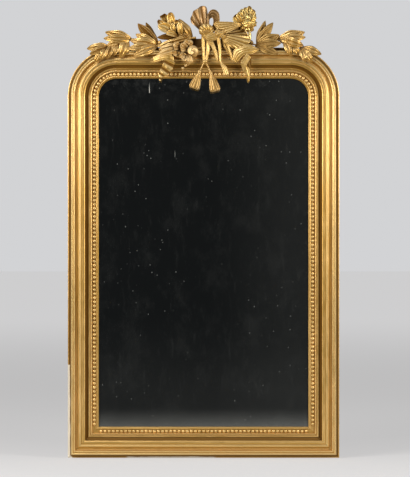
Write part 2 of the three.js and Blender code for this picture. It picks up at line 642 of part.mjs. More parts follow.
// The value at t of the parabola through three values at 0, 1/2 and 1.
const through = ([start, middle, end], t) => (
  (1 - t) * (1 - 2 * t) * start + 4 * t * (1 - t) * middle + t * (2 * t - 1) * end);

const LEAF_STATIONS = [[0.1, 0.4], [0.34, 0.92], [0.6, 1], [0.84, 0.58]];   // place along, share of the width
const LEAF_RIDGE = 4.2;
const LEAF_BELLY = 2.6;

// A laurel leaf: a blade with a middle rib, from its stalk to its tip, bent along its length in depth.
function leaf({ from, to, wide, depth }, grow = 0) {
  const [dx, dz] = [to[0] - from[0], to[1] - from[1]];
  const length = Math.hypot(dx, dz);
  const [ux, uz] = [dx / length, dz / length];
  const spine = (t) => crest(from[0] + dx * t, through(depth, t), from[1] + dz * t);
  const end = (t, inner) => spine(t).addScaledVector(
    spine(t).sub(spine(inner)).normalize(), 3 * grow);
  const points = [end(0, LEAF_STATIONS[0][0])];
  LEAF_STATIONS.forEach(([t, share]) => {
    const half = (wide / 2) * share + grow;
    const middle = spine(t);
    points.push(
      middle.clone().add(new THREE.Vector3(-uz * half, 0, ux * half)),
      middle.clone().add(new THREE.Vector3(0, -LEAF_RIDGE * share - grow, 0)),
      middle.clone().add(new THREE.Vector3(uz * half, 0, -ux * half)),
      middle.clone().add(new THREE.Vector3(0, LEAF_BELLY * share + grow, 0)));
  });
  points.push(end(1, LEAF_STATIONS[LEAF_STATIONS.length - 1][0]));
  const triangles = [];
  for (let i = 0; i < 4; i += 1) {
    const j = (i + 1) % 4;
    triangles.push([0, 1 + j, 1 + i]);
    for (let ring = 0; ring + 1 < LEAF_STATIONS.length; ring += 1) {
      const [a, b] = [1 + 4 * ring + i, 1 + 4 * ring + j];
      triangles.push([a, b, b + 4], [a, b + 4, a + 4]);
    }
    const last = 1 + 4 * (LEAF_STATIONS.length - 1);
    triangles.push([last + i, last + j, points.length - 1]);
  }
  return meshGeometry(points.map((point) => point.toArray()), triangles);
}

// A ribbon of even thickness between two edges, given as pairs of points across it.
function ribbon(pairs, thickness, grow = 0) {
  const across = pairs.map(([a, b]) => b.clone().sub(a).normalize());
  const middles = pairs.map(([a, b]) => a.clone().add(b).multiplyScalar(0.5));
  const along = pairs.map((_, i) => middles[Math.min(i + 1, pairs.length - 1)].clone()
    .sub(middles[Math.max(i - 1, 0)]).normalize());
  const half = thickness / 2 + grow;
  const points = pairs.flatMap(([a, b], i) => {
    const end = i === 0 ? -grow : (i === pairs.length - 1 ? grow : 0);
    const normal = along[i].clone().cross(across[i]).normalize();
    return [[a, -grow, -half], [b, grow, -half], [b, grow, half], [a, -grow, half]].map(
      ([point, out, up]) => point.clone().addScaledVector(across[i], out)
        .addScaledVector(normal, up).addScaledVector(along[i], end).toArray());
  });
  const triangles = [[0, 2, 1], [0, 3, 2]];
  for (let s = 0; s + 1 < pairs.length; s += 1) {
    for (let i = 0; i < 4; i += 1) {
      const [a, b] = [4 * s + i, 4 * s + ((i + 1) % 4)];
      triangles.push([a, b, b + 4], [a, b + 4, a + 4]);
    }
  }
  const last = 4 * (pairs.length - 1);
  triangles.push([last, last + 1, last + 2], [last, last + 2, last + 3]);
  return meshGeometry(points, triangles);
}

function cord(places, radius, grow = 0, steps = 10, sides = 7) {
  const outline = new THREE.Shape();
  outline.absarc(0, 0, radius + grow, 0, 2 * Math.PI, false);
  const route = new THREE.CatmullRomCurve3(places.map(([x, y, z]) => crest(x, y, z)));
  return new THREE.ExtrudeGeometry(outline, {
    steps, curveSegments: sides, bevelEnabled: false, extrudePath: route });
}

function ball([x, y, z], [radiusX, radiusY, radiusZ], grow = 0, detail = 1) {
  const geometry = new THREE.IcosahedronGeometry(1, detail);
  geometry.scale(radiusX + grow, radiusY + grow, radiusZ + grow);
  const place = crest(x, y, z);
  geometry.translate(place.x, place.y, place.z);
  return geometry;
}

// A tassel hangs from its cord's end along a slanting axis and is flatter in depth than across.
function tassel({ top, bottom, y, cordFrom }, grow = 0) {
  const [dx, dz] = [bottom[0] - top[0], bottom[1] - top[1]];
  const length = Math.hypot(dx, dz);
  const outline = TASSEL_OUTLINE.map(([share, radius]) => new THREE.Vector2(
    radius === 0 ? 0 : radius + grow, -share * length + (share === 0 ? grow : (share === 1 ? -grow : 0))));
  const body = new THREE.LatheGeometry(outline, 12);
  body.scale(1, 1, TASSEL_FLATTENING);
  body.rotateX(Math.PI / 2);
  body.rotateY(-Math.atan2(dx, -dz));
  const place = crest(top[0], y, top[1]);
  body.translate(place.x, place.y, place.z);
  const string = cord([cordFrom, [(cordFrom[0] + top[0]) / 2, y, (cordFrom[2] + top[1]) / 2],
    [top[0] + dx * 0.1, y, top[1] + dz * 0.1]], TASSEL_CORD_RADIUS, grow, 6, 6);
  return join(body, string);
}

// ---------------------------------------------------------------- crest: sizes and places
const STEM_RADIUS = 4;
const RIBBON_THICKNESS = 3;
const TASSEL_CORD_RADIUS = 2.6;
const TASSEL_FLATTENING = 0.6;
const TASSEL_OUTLINE = [
  [0, 0], [0, 4], [0.08, 6.6], [0.16, 5], [0.24, 8.4], [0.6, 13.6], [0.94, 17.6], [1, 16], [1, 0],
];

const STEM_Y = -34;
const above = [STEM_Y, STEM_Y - 9, STEM_Y - 4];      // depth of a leaf that stands above the frame
const forward = [STEM_Y, STEM_Y - 17, STEM_Y - 13];  // of one in front of those
const rearward = [STEM_Y, STEM_Y + 6, STEM_Y + 9];   // of one behind them
const hanging = [STEM_Y, -54.5, -52];                // of one that lies over the moulding's highest reed

const leafGroups = {
  left_inner: [
    { from: [-164, 6], to: [-237, 46], wide: 34, depth: above },
    { from: [-164, 6], to: [-256, 23], wide: 36, depth: forward },
    { from: [-164, 5], to: [-264, -6], wide: 34, depth: [STEM_Y, -58, -62] },
    { from: [-162, 5], to: [-244, -33], wide: 36, depth: [STEM_Y, -58, -54] },
    { from: [-160, 6], to: [-230, 84], wide: 40, depth: rearward },
    { from: [-164, 8], to: [-202, 88], wide: 26, depth: [STEM_Y, STEM_Y + 9, STEM_Y + 14] },
    { from: [-40, 34], to: [-164, 1], wide: 26, depth: [-42, -52, -44] },
  ],
  left_outer: [
    { from: [-250, 27], to: [-344, 53], wide: 36, depth: above },
    { from: [-252, 27], to: [-349, 30], wide: 34, depth: forward },
    { from: [-266, 26], to: [-289, -38], wide: 38, depth: hanging },
    { from: [-300, 17], to: [-314, -31], wide: 32, depth: hanging },
    { from: [-331, 2], to: [-407, -6], wide: 32, depth: [STEM_Y - 6, -54, -46] },
    { from: [-334, 1], to: [-397, -26], wide: 28, depth: [STEM_Y - 6, -63, -58] },
    { from: [-338, -2], to: [-359, -47], wide: 24, depth: [STEM_Y - 8, -66, -62] },
    { from: [-318, 9], to: [-338, -43], wide: 28, depth: [STEM_Y - 4, -65, -62] },
    { from: [-360, -20], to: [-380, -57], wide: 18, depth: [-60, -64, -60] },
    { from: [-268, 25], to: [-338, 4], wide: 32, depth: [STEM_Y, -50, -50] },
  ],
  right_inner: [
    { from: [186, 9], to: [216, 94], wide: 26, depth: rearward },
    { from: [186, 9], to: [243, 86], wide: 34, depth: above },
    { from: [184, 9], to: [265, 42], wide: 38, depth: forward },
    { from: [184, 9], to: [270, 13], wide: 38, depth: [STEM_Y, -58, -54] },
    { from: [184, 8], to: [258, -27], wide: 34, depth: [STEM_Y, -58, -54] },
  ],
  right_outer: [
    { from: [258, 26], to: [354, 53], wide: 38, depth: above },
    { from: [262, 26], to: [356, 34], wide: 36, depth: forward },
    { from: [276, 25], to: [349, 3], wide: 34, depth: [STEM_Y, -60, -52] },
    { from: [343, -3], to: [411, -26], wide: 32, depth: [STEM_Y - 8, -62, -52] },
    { from: [283, 23], to: [305, -33], wide: 26, depth: hanging },
    { from: [310, 12], to: [331, -29], wide: 26, depth: hanging },
    { from: [338, 0], to: [354, -55], wide: 24, depth: [STEM_Y - 6, -67, -62] },
    { from: [352, -8], to: [377, -57], wide: 24, depth: [STEM_Y - 10, -68, -60] },
    { from: [264, 26], to: [336, 20], wide: 34, depth: [STEM_Y, -48, -46] },
  ],
};

const stems = {
  left_inner: [[-26, -40, 33], [-90, -40, 26], [-130, -38, 15], [-166, STEM_Y, 5]],
  left_outer: [[-158, -30, 2], [-209, STEM_Y, 22], [-262, STEM_Y, 28], [-303, STEM_Y, 17],
    [-337, STEM_Y - 8, 1], [-362, -61, -23]],
  right_inner: [[70, -38, 18], [120, -38, 12], [188, STEM_Y, 9]],
  right_outer: [[180, -30, 2], [225, STEM_Y, 20], [272, STEM_Y, 27], [312, STEM_Y, 13],
    [352, STEM_Y - 10, -8]],
};

const berries = {
  left_inner: [[[-153, -37, 16], 7]],
  left_outer: [[[-309, -44, 6], 9]],
  right_inner: [[[166, -36, 15], 8]],
  right_outer: [[[247, -34, 32], 8]],
};

function spray(name) {
  return (grow) => join(
    cord(stems[name], STEM_RADIUS, grow, 14, 6),
    ...leafGroups[name].map((shape) => leaf(shape, grow)),
    ...berries[name].map(([place, radius]) => ball(place, [radius, radius, radius], grow, 0)));
}

// Petals of the left blossom curl up and out from its calyx; the right one is a full bumpy head.
const CALYX = [-66, -36, 38];
const petals = [
  { from: [-66, 38], to: [-161, 121], wide: 40, depth: [-36, -50, -40] },
  { from: [-68, 38], to: [-160, 95], wide: 34, depth: [-36, -62, -58] },
  { from: [-68, 38], to: [-163, 68], wide: 34, depth: [-36, -56, -60] },
  { from: [-66, 38], to: [-117, 130], wide: 42, depth: [-36, -44, -34] },
  { from: [-66, 38], to: [-133, 108], wide: 36, depth: [-36, -66, -64] },
  { from: [-62, 38], to: [-96, 104], wide: 36, depth: [-36, -58, -54] },
  { from: [-58, 36], to: [-80, 96], wide: 30, depth: [-36, -42, -30] },
  { from: [-40, 34], to: [-72, 82], wide: 30, depth: [-36, -48, -40] },
  { from: [-84, 36], to: [-163, 46], wide: 24, depth: [-36, -46, -42] },
];
const blossomLeft = (grow) => join(
  ball(CALYX, [26, 15, 17], grow),
  ...petals.map((shape) => leaf(shape, grow)));

const ROSE = [156, -42, 95];
const ROSE_RADIUS = 27;
const ROSE_PETALS = 7;
const rosePetals = (grow) => Array.from({ length: ROSE_PETALS }, (_, i) => {
  const angle = (2 * Math.PI * i) / ROSE_PETALS + 0.3;
  const ring = ROSE_RADIUS * 0.78;
  return ball([ROSE[0] + ring * Math.cos(angle), ROSE[1] - 3, ROSE[2] + 1.35 * ring * Math.sin(angle)],
    [15, 13, 16], grow, 0);
});
const blossomRight = (grow) => join(
  ball(ROSE, [ROSE_RADIUS, 21, ROSE_RADIUS * 1.5], grow),
  ...rosePetals(grow),
  ball([158, -42, 139], [11, 11, 13], grow, 0),
  leaf({ from: [142, 72], to: [110, 114], wide: 32, depth: [-40, -40, -30] }, grow),
  cord([[156, -40, 66], [162, -40, 40], [158, -38, 16]], STEM_RADIUS + 1, grow, 4, 6));

const buds = [
  [[-30, -68, -18], 21], [[-62, -62, 0], 20], [[-56, -66, -36], 17], [[-90, -58, 2], 18],
  [[-112, -60, -14], 15], [[-86, -62, -26], 15], [[-42, -66, -52], 11],
];
const budLeaves = [
  { from: [-86, 2], to: [-156, -10], wide: 28, depth: [-56, -62, -58] },
  { from: [-90, -6], to: [-160, -28], wide: 24, depth: [-58, -72, -62] },
];
const budCluster = (grow) => join(
  ...buds.map(([place, radius]) => ball(place, [radius, radius * 0.9, radius], grow, 1)),
  ...budLeaves.map((shape) => leaf(shape, grow)));

// Ribbons, as pairs of places across them: [x, y, z] of the one edge, [x, y, z] of the other.
const across = (pairs) => pairs.map(([a, b]) => [crest(...a), crest(...b)]);

// A pleated loop spreads from the knot; every second pair across it lies back by the depth of a pleat.
function pleated(near, far, depth, pleat) {
  return far.map(([x, z], i) => {
    const t = i / (far.length - 1);
    const start = [near[0][0] + (near[1][0] - near[0][0]) * t, near[0][1] + (near[1][1] - near[0][1]) * t];
    const y = through(depth, t) + (i % 2 ? pleat : 0);
    return [crest(start[0], (through(depth, t) + through(depth, 0.5)) / 2, start[1]), crest(x, y, z)];
  });
}

const upperLoop = () => pleated([[-14, 58], [12, 60]],
  [[-43, 84], [-46, 100], [-40, 112], [-36, 125], [-22, 133], [-9, 143], [8, 141], [13, 122], [15, 100]],
  [-52, -58, -44], 8);
const ringLoop = () => across([
  [[16, -50, 60], [24, -42, 64]], [[13, -54, 92], [20, -42, 90]], [[14, -56, 116], [23, -43, 106]],
  [[24, -58, 131], [30, -44, 111]], [[38, -58, 134], [33, -46, 113]], [[51, -56, 127], [34, -46, 107]],
  [[57, -54, 108], [33, -44, 95]], [[55, -52, 88], [32, -44, 84]], [[42, -50, 64], [26, -46, 64]],
]);
const sideLoop = () => pleated([[44, 56], [60, 18]],
  [[56, 84], [64, 92], [84, 88], [104, 91], [122, 86], [138, 84], [146, 66], [156, 48], [172, 26], [150, 14],
    [136, 0], [118, 0], [100, -8], [84, 2]],
  [-50, -44, -66], 9);
// Each tail is a flat band and the folded end that drops from it.
const RIBBON_TAILS = {
  left: [
    [
      [[-176, -60, -36], [-173, -60, -56]], [[-150, -68, -27], [-150, -68, -50]],
      [[-122, -73, -24], [-123, -73, -47]], [[-104, -68, -34], [-102, -68, -54]],
    ],
    [
      [[-130, -71, -42], [-99, -69, -54]], [[-142, -66, -62], [-110, -66, -82]],
      [[-152, -62, -82], [-130, -62, -99]], [[-157, -60, -100], [-143, -60, -107]],
      [[-154, -56, -116], [-148, -56, -118]],
    ],
  ],
  right: [
    [
      [[114, -62, -57], [99, -60, -50]], [[128, -68, -43], [106, -64, -12]],
      [[142, -71, -30], [126, -67, -3]], [[158, -70, -28], [150, -66, 7]],
      [[173, -67, -24], [168, -64, 5]], [[191, -60, -14], [192, -60, -9]],
    ],
    [
      [[150, -74, -24], [166, -70, -38]], [[130, -72, -54], [150, -68, -66]],
      [[133, -66, -72], [159, -62, -76]], [[140, -61, -87], [161, -60, -92]],
      [[150, -58, -102], [162, -58, -103]], [[155, -54, -122], [159, -54, -121]],
    ],
  ],
};
const ribbonTail = (side) => (grow) => join(
  ...RIBBON_TAILS[side].map((pairs) => ribbon(across(pairs), RIBBON_THICKNESS, grow)));
const KNOT = [47, -65, 38];
const REED_Y = FACE - Math.max(...SECTION.map(([, height]) => height));   // the moulding's foremost line
const strands = (grow) => join(
  ribbon(across([[[-8, -60, 46], [5, -61, 46]], [[-6, REED_Y - 3, -10], [5, REED_Y - 3.6, -10]],
    [[-2, REED_Y - 3, -54], [6, REED_Y - 3.6, -54]]]), 6, grow),
  ribbon(across([[[9, -61, 48], [23, -60, 46]], [[9, REED_Y - 3.6, -10], [22, REED_Y - 3, -10]],
    [[3, REED_Y - 3.6, -54], [12, REED_Y - 3, -54]]]), 6, grow),
  ribbon(across([[[42, -66, 38], [56, -66, 38]], [[49, -68, 6], [61, -68, 6]],
    [[53, -68, -26], [62, -68, -25]], [[55, -67, -53], [62, -67, -51]],
    [[64, -64, -76], [80, -64, -70]], [[73, -60, -102], [90, -60, -95]]]), RIBBON_THICKNESS, grow),
  ribbon(across([[[52, -66, 34], [62, -64, 40]], [[69, -67, 21], [79, -67, 25]],
    [[80, -68, 0], [89, -68, 3]], [[88, -66, -25], [97, -66, -22]],
    [[97, -64, -50], [105, -64, -47]]]), RIBBON_THICKNESS, grow),
  ribbon(across([[[-2, -62, 32], [8, -62, 44]], [[26, -64, 0], [36, -64, 12]],
    [[46, -62, -52], [56, -62, -46]]]), RIBBON_THICKNESS, grow),
  ball(KNOT, [14, 11, 11], grow),
  ball([5, REED_Y - 5, -52], [9, 8, 7], grow, 0),
  ribbon(across([[[-6, -61, 28], [-4, -61, 44]], [[24, -64, 26], [24, -64, 40]],
    [[50, -66, 28], [52, -66, 42]]]), RIBBON_THICKNESS, grow));

const ROSETTE = [7, -62, 50];
const ROSETTE_LOBES = 5;
const rosette = (grow) => join(
  ball(ROSETTE, [22, 15, 15], grow),
  ...Array.from({ length: ROSETTE_LOBES }, (_, i) => {
    const angle = Math.PI * (0.02 + (0.96 * i) / (ROSETTE_LOBES - 1));
    return ball([ROSETTE[0] + 16 * Math.cos(angle), ROSETTE[1] - 4, ROSETTE[2] + 10 * Math.sin(angle)],
      [9, 10, 8], grow, 0);
  }));

const TASSELS = {
  left: { top: [-12, -82], bottom: [-35, -146], y: -60, cordFrom: [1, -61, -55] },
  right: { top: [24, -86], bottom: [42, -156], y: -60, cordFrom: [9, -61, -55] },
};

// ---------------------------------------------------------------- crest: pieces, from front to back
const swollenSection = SECTION.map(([distance, height], i) => {
  const reach = i < SECTION.length - 2 ? distance : MOULDING_WIDTH + CLEARANCE;
  return [reach, height === 0 ? -CARCASS_THICKNESS - 1 : height + CLEARANCE];
});
const frameCutters = [runs.top(), runs.corner(-1), runs.corner(1)].map(
  (stations) => toSolid(sweep(swollenSection, stations)));
const inFront = [...frameCutters];

function crestPiece(name, build) {
  const trimmed = inFront.reduce((rest, cutter) => rest.subtract(cutter), toSolid(build(0)));
  addMesh(name, largestBody(toGeometry(trimmed)), ORNAMENT_GILT);
  inFront.push(toSolid(build(CLEARANCE)));
}

crestPiece('tassel_left', (grow) => tassel(TASSELS.left, grow));
crestPiece('tassel_right', (grow) => tassel(TASSELS.right, grow));
crestPiece('ribbon_strands', strands);
crestPiece('ribbon_tail_left', ribbonTail('left'));
crestPiece('ribbon_tail_right', ribbonTail('right'));
crestPiece('ribbon_rosette', rosette);
crestPiece('rosebud_cluster', budCluster);
crestPiece('ribbon_loop_side', (grow) => ribbon(sideLoop(), RIBBON_THICKNESS, grow));
crestPiece('ribbon_loops_upper', (grow) => join(
  ribbon(upperLoop(), RIBBON_THICKNESS, grow),
  ribbon(ringLoop(), RIBBON_THICKNESS, grow),
  ball([12, -50, 64], [16, 10, 8], grow, 0)));
crestPiece('blossom_left', blossomLeft);
crestPiece('blossom_right', blossomRight);
crestPiece('spray_left_inner', spray('left_inner'));
crestPiece('spray_right_inner', spray('right_inner'));
crestPiece('spray_left_outer', spray('left_outer'));
crestPiece('spray_right_outer', spray('right_outer'));
const backingFoot = FRAME_HEIGHT + CLEARANCE;
addMesh('crest_backing', cutBySolids(box(BACKING_LEFT, BACKING_RIGHT, BACK - BACKING_THICKNESS, BACK,
  backingFoot, FRAME_HEIGHT + BACKING_HEIGHT), inFront), PINE);

function cutBySolids(geometry, cutters) {
  return largestBody(toGeometry(cutters.reduce((rest, cutter) => rest.subtract(cutter), toSolid(geometry))));
}

export default root;
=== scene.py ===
"""Looks of the giltwood overmantel mirror: mouldings, pearls, carved crest, old glass, carcass and studio."""

import logging
import math
import random
from collections.abc import Callable, Sequence
from dataclasses import dataclass, field
from enum import Enum

import bmesh
import bpy
from mathutils import Matrix, Vector


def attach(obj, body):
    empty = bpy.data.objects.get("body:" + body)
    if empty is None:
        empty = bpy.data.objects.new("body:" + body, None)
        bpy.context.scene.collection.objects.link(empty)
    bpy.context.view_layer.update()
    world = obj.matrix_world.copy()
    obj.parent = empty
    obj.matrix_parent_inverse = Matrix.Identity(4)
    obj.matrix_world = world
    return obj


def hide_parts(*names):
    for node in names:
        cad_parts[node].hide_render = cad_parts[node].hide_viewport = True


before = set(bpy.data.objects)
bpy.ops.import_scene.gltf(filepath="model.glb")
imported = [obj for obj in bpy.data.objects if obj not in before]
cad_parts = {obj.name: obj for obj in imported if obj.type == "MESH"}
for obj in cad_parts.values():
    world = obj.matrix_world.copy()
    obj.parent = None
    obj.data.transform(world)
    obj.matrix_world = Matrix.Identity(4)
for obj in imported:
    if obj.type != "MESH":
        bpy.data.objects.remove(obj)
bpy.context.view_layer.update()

LOG = logging.getLogger("overmantel")
FRAME_BODY = "frame"
MM = 0.001
CREVICE_SAMPLES = 8

Colour = tuple[float, float, float]
Place = tuple[float, float, float]
Flat = tuple[float, float]
Spot = tuple[Vector, float, float]    # a point in millimetres with its ridge and its hollow


class Slot(Enum):
    """The record's material slot names; no piece here is given one."""

    MOULDING = "gilt_moulding"
    PEARLS = "gilt_pearls"
    ORNAMENT = "gilt_ornament"


class Side(Enum):
    """Left or right, seen from the front; the value is the sign of X."""

    LEFT = -1
    RIGHT = 1

    @property
    def label(self) -> str:
        """The side's name as CAD nodes spell it."""
        return self.name.lower()


# ---------------------------------------------------------------------------- shader helpers
class Shader:
    """A material's node tree with short calls for the nodes that the finishes need."""

    def __init__(self, name: str) -> None:
        """Starts an empty material.

        Args:
            name: The material's name.
        """
        self.material = bpy.data.materials.new(name)
        self.material.use_nodes = True
        self.tree = self.material.node_tree
        self.tree.nodes.clear()
        self.output = self.tree.nodes.new("ShaderNodeOutputMaterial")
        self.surface = self.tree.nodes.new("ShaderNodeBsdfPrincipled")
        self.tree.links.new(self.surface.outputs[0], self.output.inputs[0])
        self.coords = self.tree.nodes.new("ShaderNodeTexCoord").outputs["Object"]

    def link(self, source: object, target: bpy.types.NodeSocket) -> None:
        """Feeds a socket with another node's output or with a constant.

        Args:
            source: The output or the constant.
            target: The socket that takes it.
        """
        if isinstance(source, bpy.types.NodeSocket):
            self.tree.links.new(source, target)
        else:
            target.default_value = source

    def stretched(self, scale: Place, shift: Place = (0, 0, 0)) -> bpy.types.NodeSocket:
        """Object coordinates scaled along each axis.

        Args:
            scale: Factor along X, Y and Z.
            shift: Offset along X, Y and Z.

        Returns:
            The scaled coordinates.
        """
        node = self.tree.nodes.new("ShaderNodeMapping")
        node.inputs["Location"].default_value = shift
        node.inputs["Scale"].default_value = scale
        self.link(self.coords, node.inputs["Vector"])
        return node.outputs[0]

    def noise(self, scale: float, detail: float = 4.0, rough: float = 0.55,
              vector: bpy.types.NodeSocket | None = None) -> bpy.types.NodeSocket:
        """A noise texture's value.

        Args:
            scale: Cells per metre.
            detail: Octaves.
            rough: Share of the finer octaves.
            vector: Coordinates, the object's own when left out.

        Returns:
            The noise between 0 and 1.
        """
        node = self.tree.nodes.new("ShaderNodeTexNoise")
        node.inputs["Scale"].default_value = scale
        node.inputs["Detail"].default_value = detail
        node.inputs["Roughness"].default_value = rough
        self.link(vector or self.coords, node.inputs["Vector"])
        return node.outputs["Fac"]

    def cells(self, scale: float, vector: bpy.types.NodeSocket | None = None) -> bpy.types.NodeSocket:
        """Distance to the nearest point of a Voronoi pattern.

        Args:
            scale: Points per metre.
            vector: Coordinates, the object's own when left out.

        Returns:
            The distance.
        """
        node = self.tree.nodes.new("ShaderNodeTexVoronoi")
        node.inputs["Scale"].default_value = scale
        self.link(vector or self.coords, node.inputs["Vector"])
        return node.outputs["Distance"]

    def attribute(self, name: str) -> bpy.types.NodeSocket:
        """A float attribute of the mesh.

        Args:
            name: The attribute's name.

        Returns:
            Its value.
        """
        node = self.tree.nodes.new("ShaderNodeAttribute")
        node.attribute_name = name
        return node.outputs["Fac"]

    def normal(self, letter: str) -> bpy.types.NodeSocket:
        """One component of the object-space normal.

        Args:
            letter: X, Y or Z.

        Returns:
            The component.
        """
        split = self.tree.nodes.new("ShaderNodeSeparateXYZ")
        self.tree.links.new(self.coords.node.outputs["Normal"], split.inputs[0])
        return split.outputs[letter]

    def openness(self, reach: float) -> bpy.types.NodeSocket:
        """How open a place is, from 0 deep in a crevice to 1 on a free face.

        Args:
            reach: How far other faces count, in metres.

        Returns:
            The openness.
        """
        node = self.tree.nodes.new("ShaderNodeAmbientOcclusion")
        node.samples = CREVICE_SAMPLES
        node.inputs["Distance"].default_value = reach
        return node.outputs["AO"]

    def axis(self, letter: str) -> bpy.types.NodeSocket:
        """One object coordinate.

        Args:
            letter: X, Y or Z.

        Returns:
            The coordinate in metres.
        """
        node = self.tree.nodes.new("ShaderNodeSeparateXYZ")
        self.link(self.coords, node.inputs[0])
        return node.outputs[letter]

    def math(self, operation: str, first: object, second: object = 0.0,
             clamp: bool = False) -> bpy.types.NodeSocket:
        """One arithmetic step.

        Args:
            operation: Blender's name for it, such as MULTIPLY.
            first: Socket or number.
            second: Socket or number.
            clamp: Whether the result stays between 0 and 1.

        Returns:
            The result.
        """
        node = self.tree.nodes.new("ShaderNodeMath")
        node.operation = operation
        node.use_clamp = clamp
        self.link(first, node.inputs[0])
        self.link(second, node.inputs[1])
        return node.outputs[0]

    def step(self, value: object, low: float, high: float) -> bpy.types.NodeSocket:
        """A smooth step from 0 at low to 1 at high; low may be the larger.

        Args:
            value: Socket or number that is tested.
            low: Where the step starts.
            high: Where it ends.

        Returns:
            The step between 0 and 1.
        """
        node = self.tree.nodes.new("ShaderNodeMapRange")
        node.interpolation_type = "SMOOTHSTEP"
        backwards = low > high
        node.inputs["From Min"].default_value = min(low, high)
        node.inputs["From Max"].default_value = max(low, high)
        node.inputs["To Min"].default_value = 1.0 if backwards else 0.0
        node.inputs["To Max"].default_value = 0.0 if backwards else 1.0
        self.link(value, node.inputs["Value"])
        return node.outputs["Result"]

    def spread(self, value: object, low: float, high: float) -> bpy.types.NodeSocket:
        """Maps 0 to 1 onto low to high.

        Args:
            value: Socket or number between 0 and 1.
            low: What 0 becomes.
            high: What 1 becomes.

        Returns:
            The mapped value.
        """
        node = self.tree.nodes.new("ShaderNodeMapRange")
        node.inputs["To Min"].default_value = low
        node.inputs["To Max"].default_value = high
        self.link(value, node.inputs["Value"])
        return node.outputs["Result"]

    def blend(self, share: object, first: object, second: object) -> bpy.types.NodeSocket:
        """Mixes two colours.

        Args:
            share: How much of the second, as a socket or number.
            first: Colour or socket.
            second: Colour or socket.

        Returns:
            The mixed colour.
        """
        node = self.tree.nodes.new("ShaderNodeMix")
        node.data_type = "RGBA"
        self.link(share, node.inputs["Factor"])
        for value, socket in ((first, node.inputs[6]), (second, node.inputs[7])):
            self.link((*value, 1.0) if isinstance(value, tuple) else value, socket)
        return node.outputs[2]

    def bump(self, height: object, strength: float, distance: float,
             below: bpy.types.NodeSocket | None = None) -> bpy.types.NodeSocket:
        """A bump layer.

        Args:
            height: The height field.
            strength: How much of it shows.
            distance: Metres for a height of 1.
            below: A bump layer underneath.

        Returns:
            The bent normal.
        """
        node = self.tree.nodes.new("ShaderNodeBump")
        node.inputs["Strength"].default_value = strength
        node.inputs["Distance"].default_value = distance
        self.link(height, node.inputs["Height"])
        if below is not None:
            self.link(below, node.inputs["Normal"])
        return node.outputs[0]

    def dress(self, **sockets: object) -> bpy.types.Material:
        """Sets the surface shader's sockets and returns the material.

        Args:
            sockets: Values by socket name, with underscores for spaces.

        Returns:
            The finished material.
        """
        for name, value in sockets.items():
            value = (*value, 1.0) if isinstance(value, tuple) and len(value) == 3 else value
            self.link(value, self.surface.inputs[name.replace("_", " ")])
        return self.material


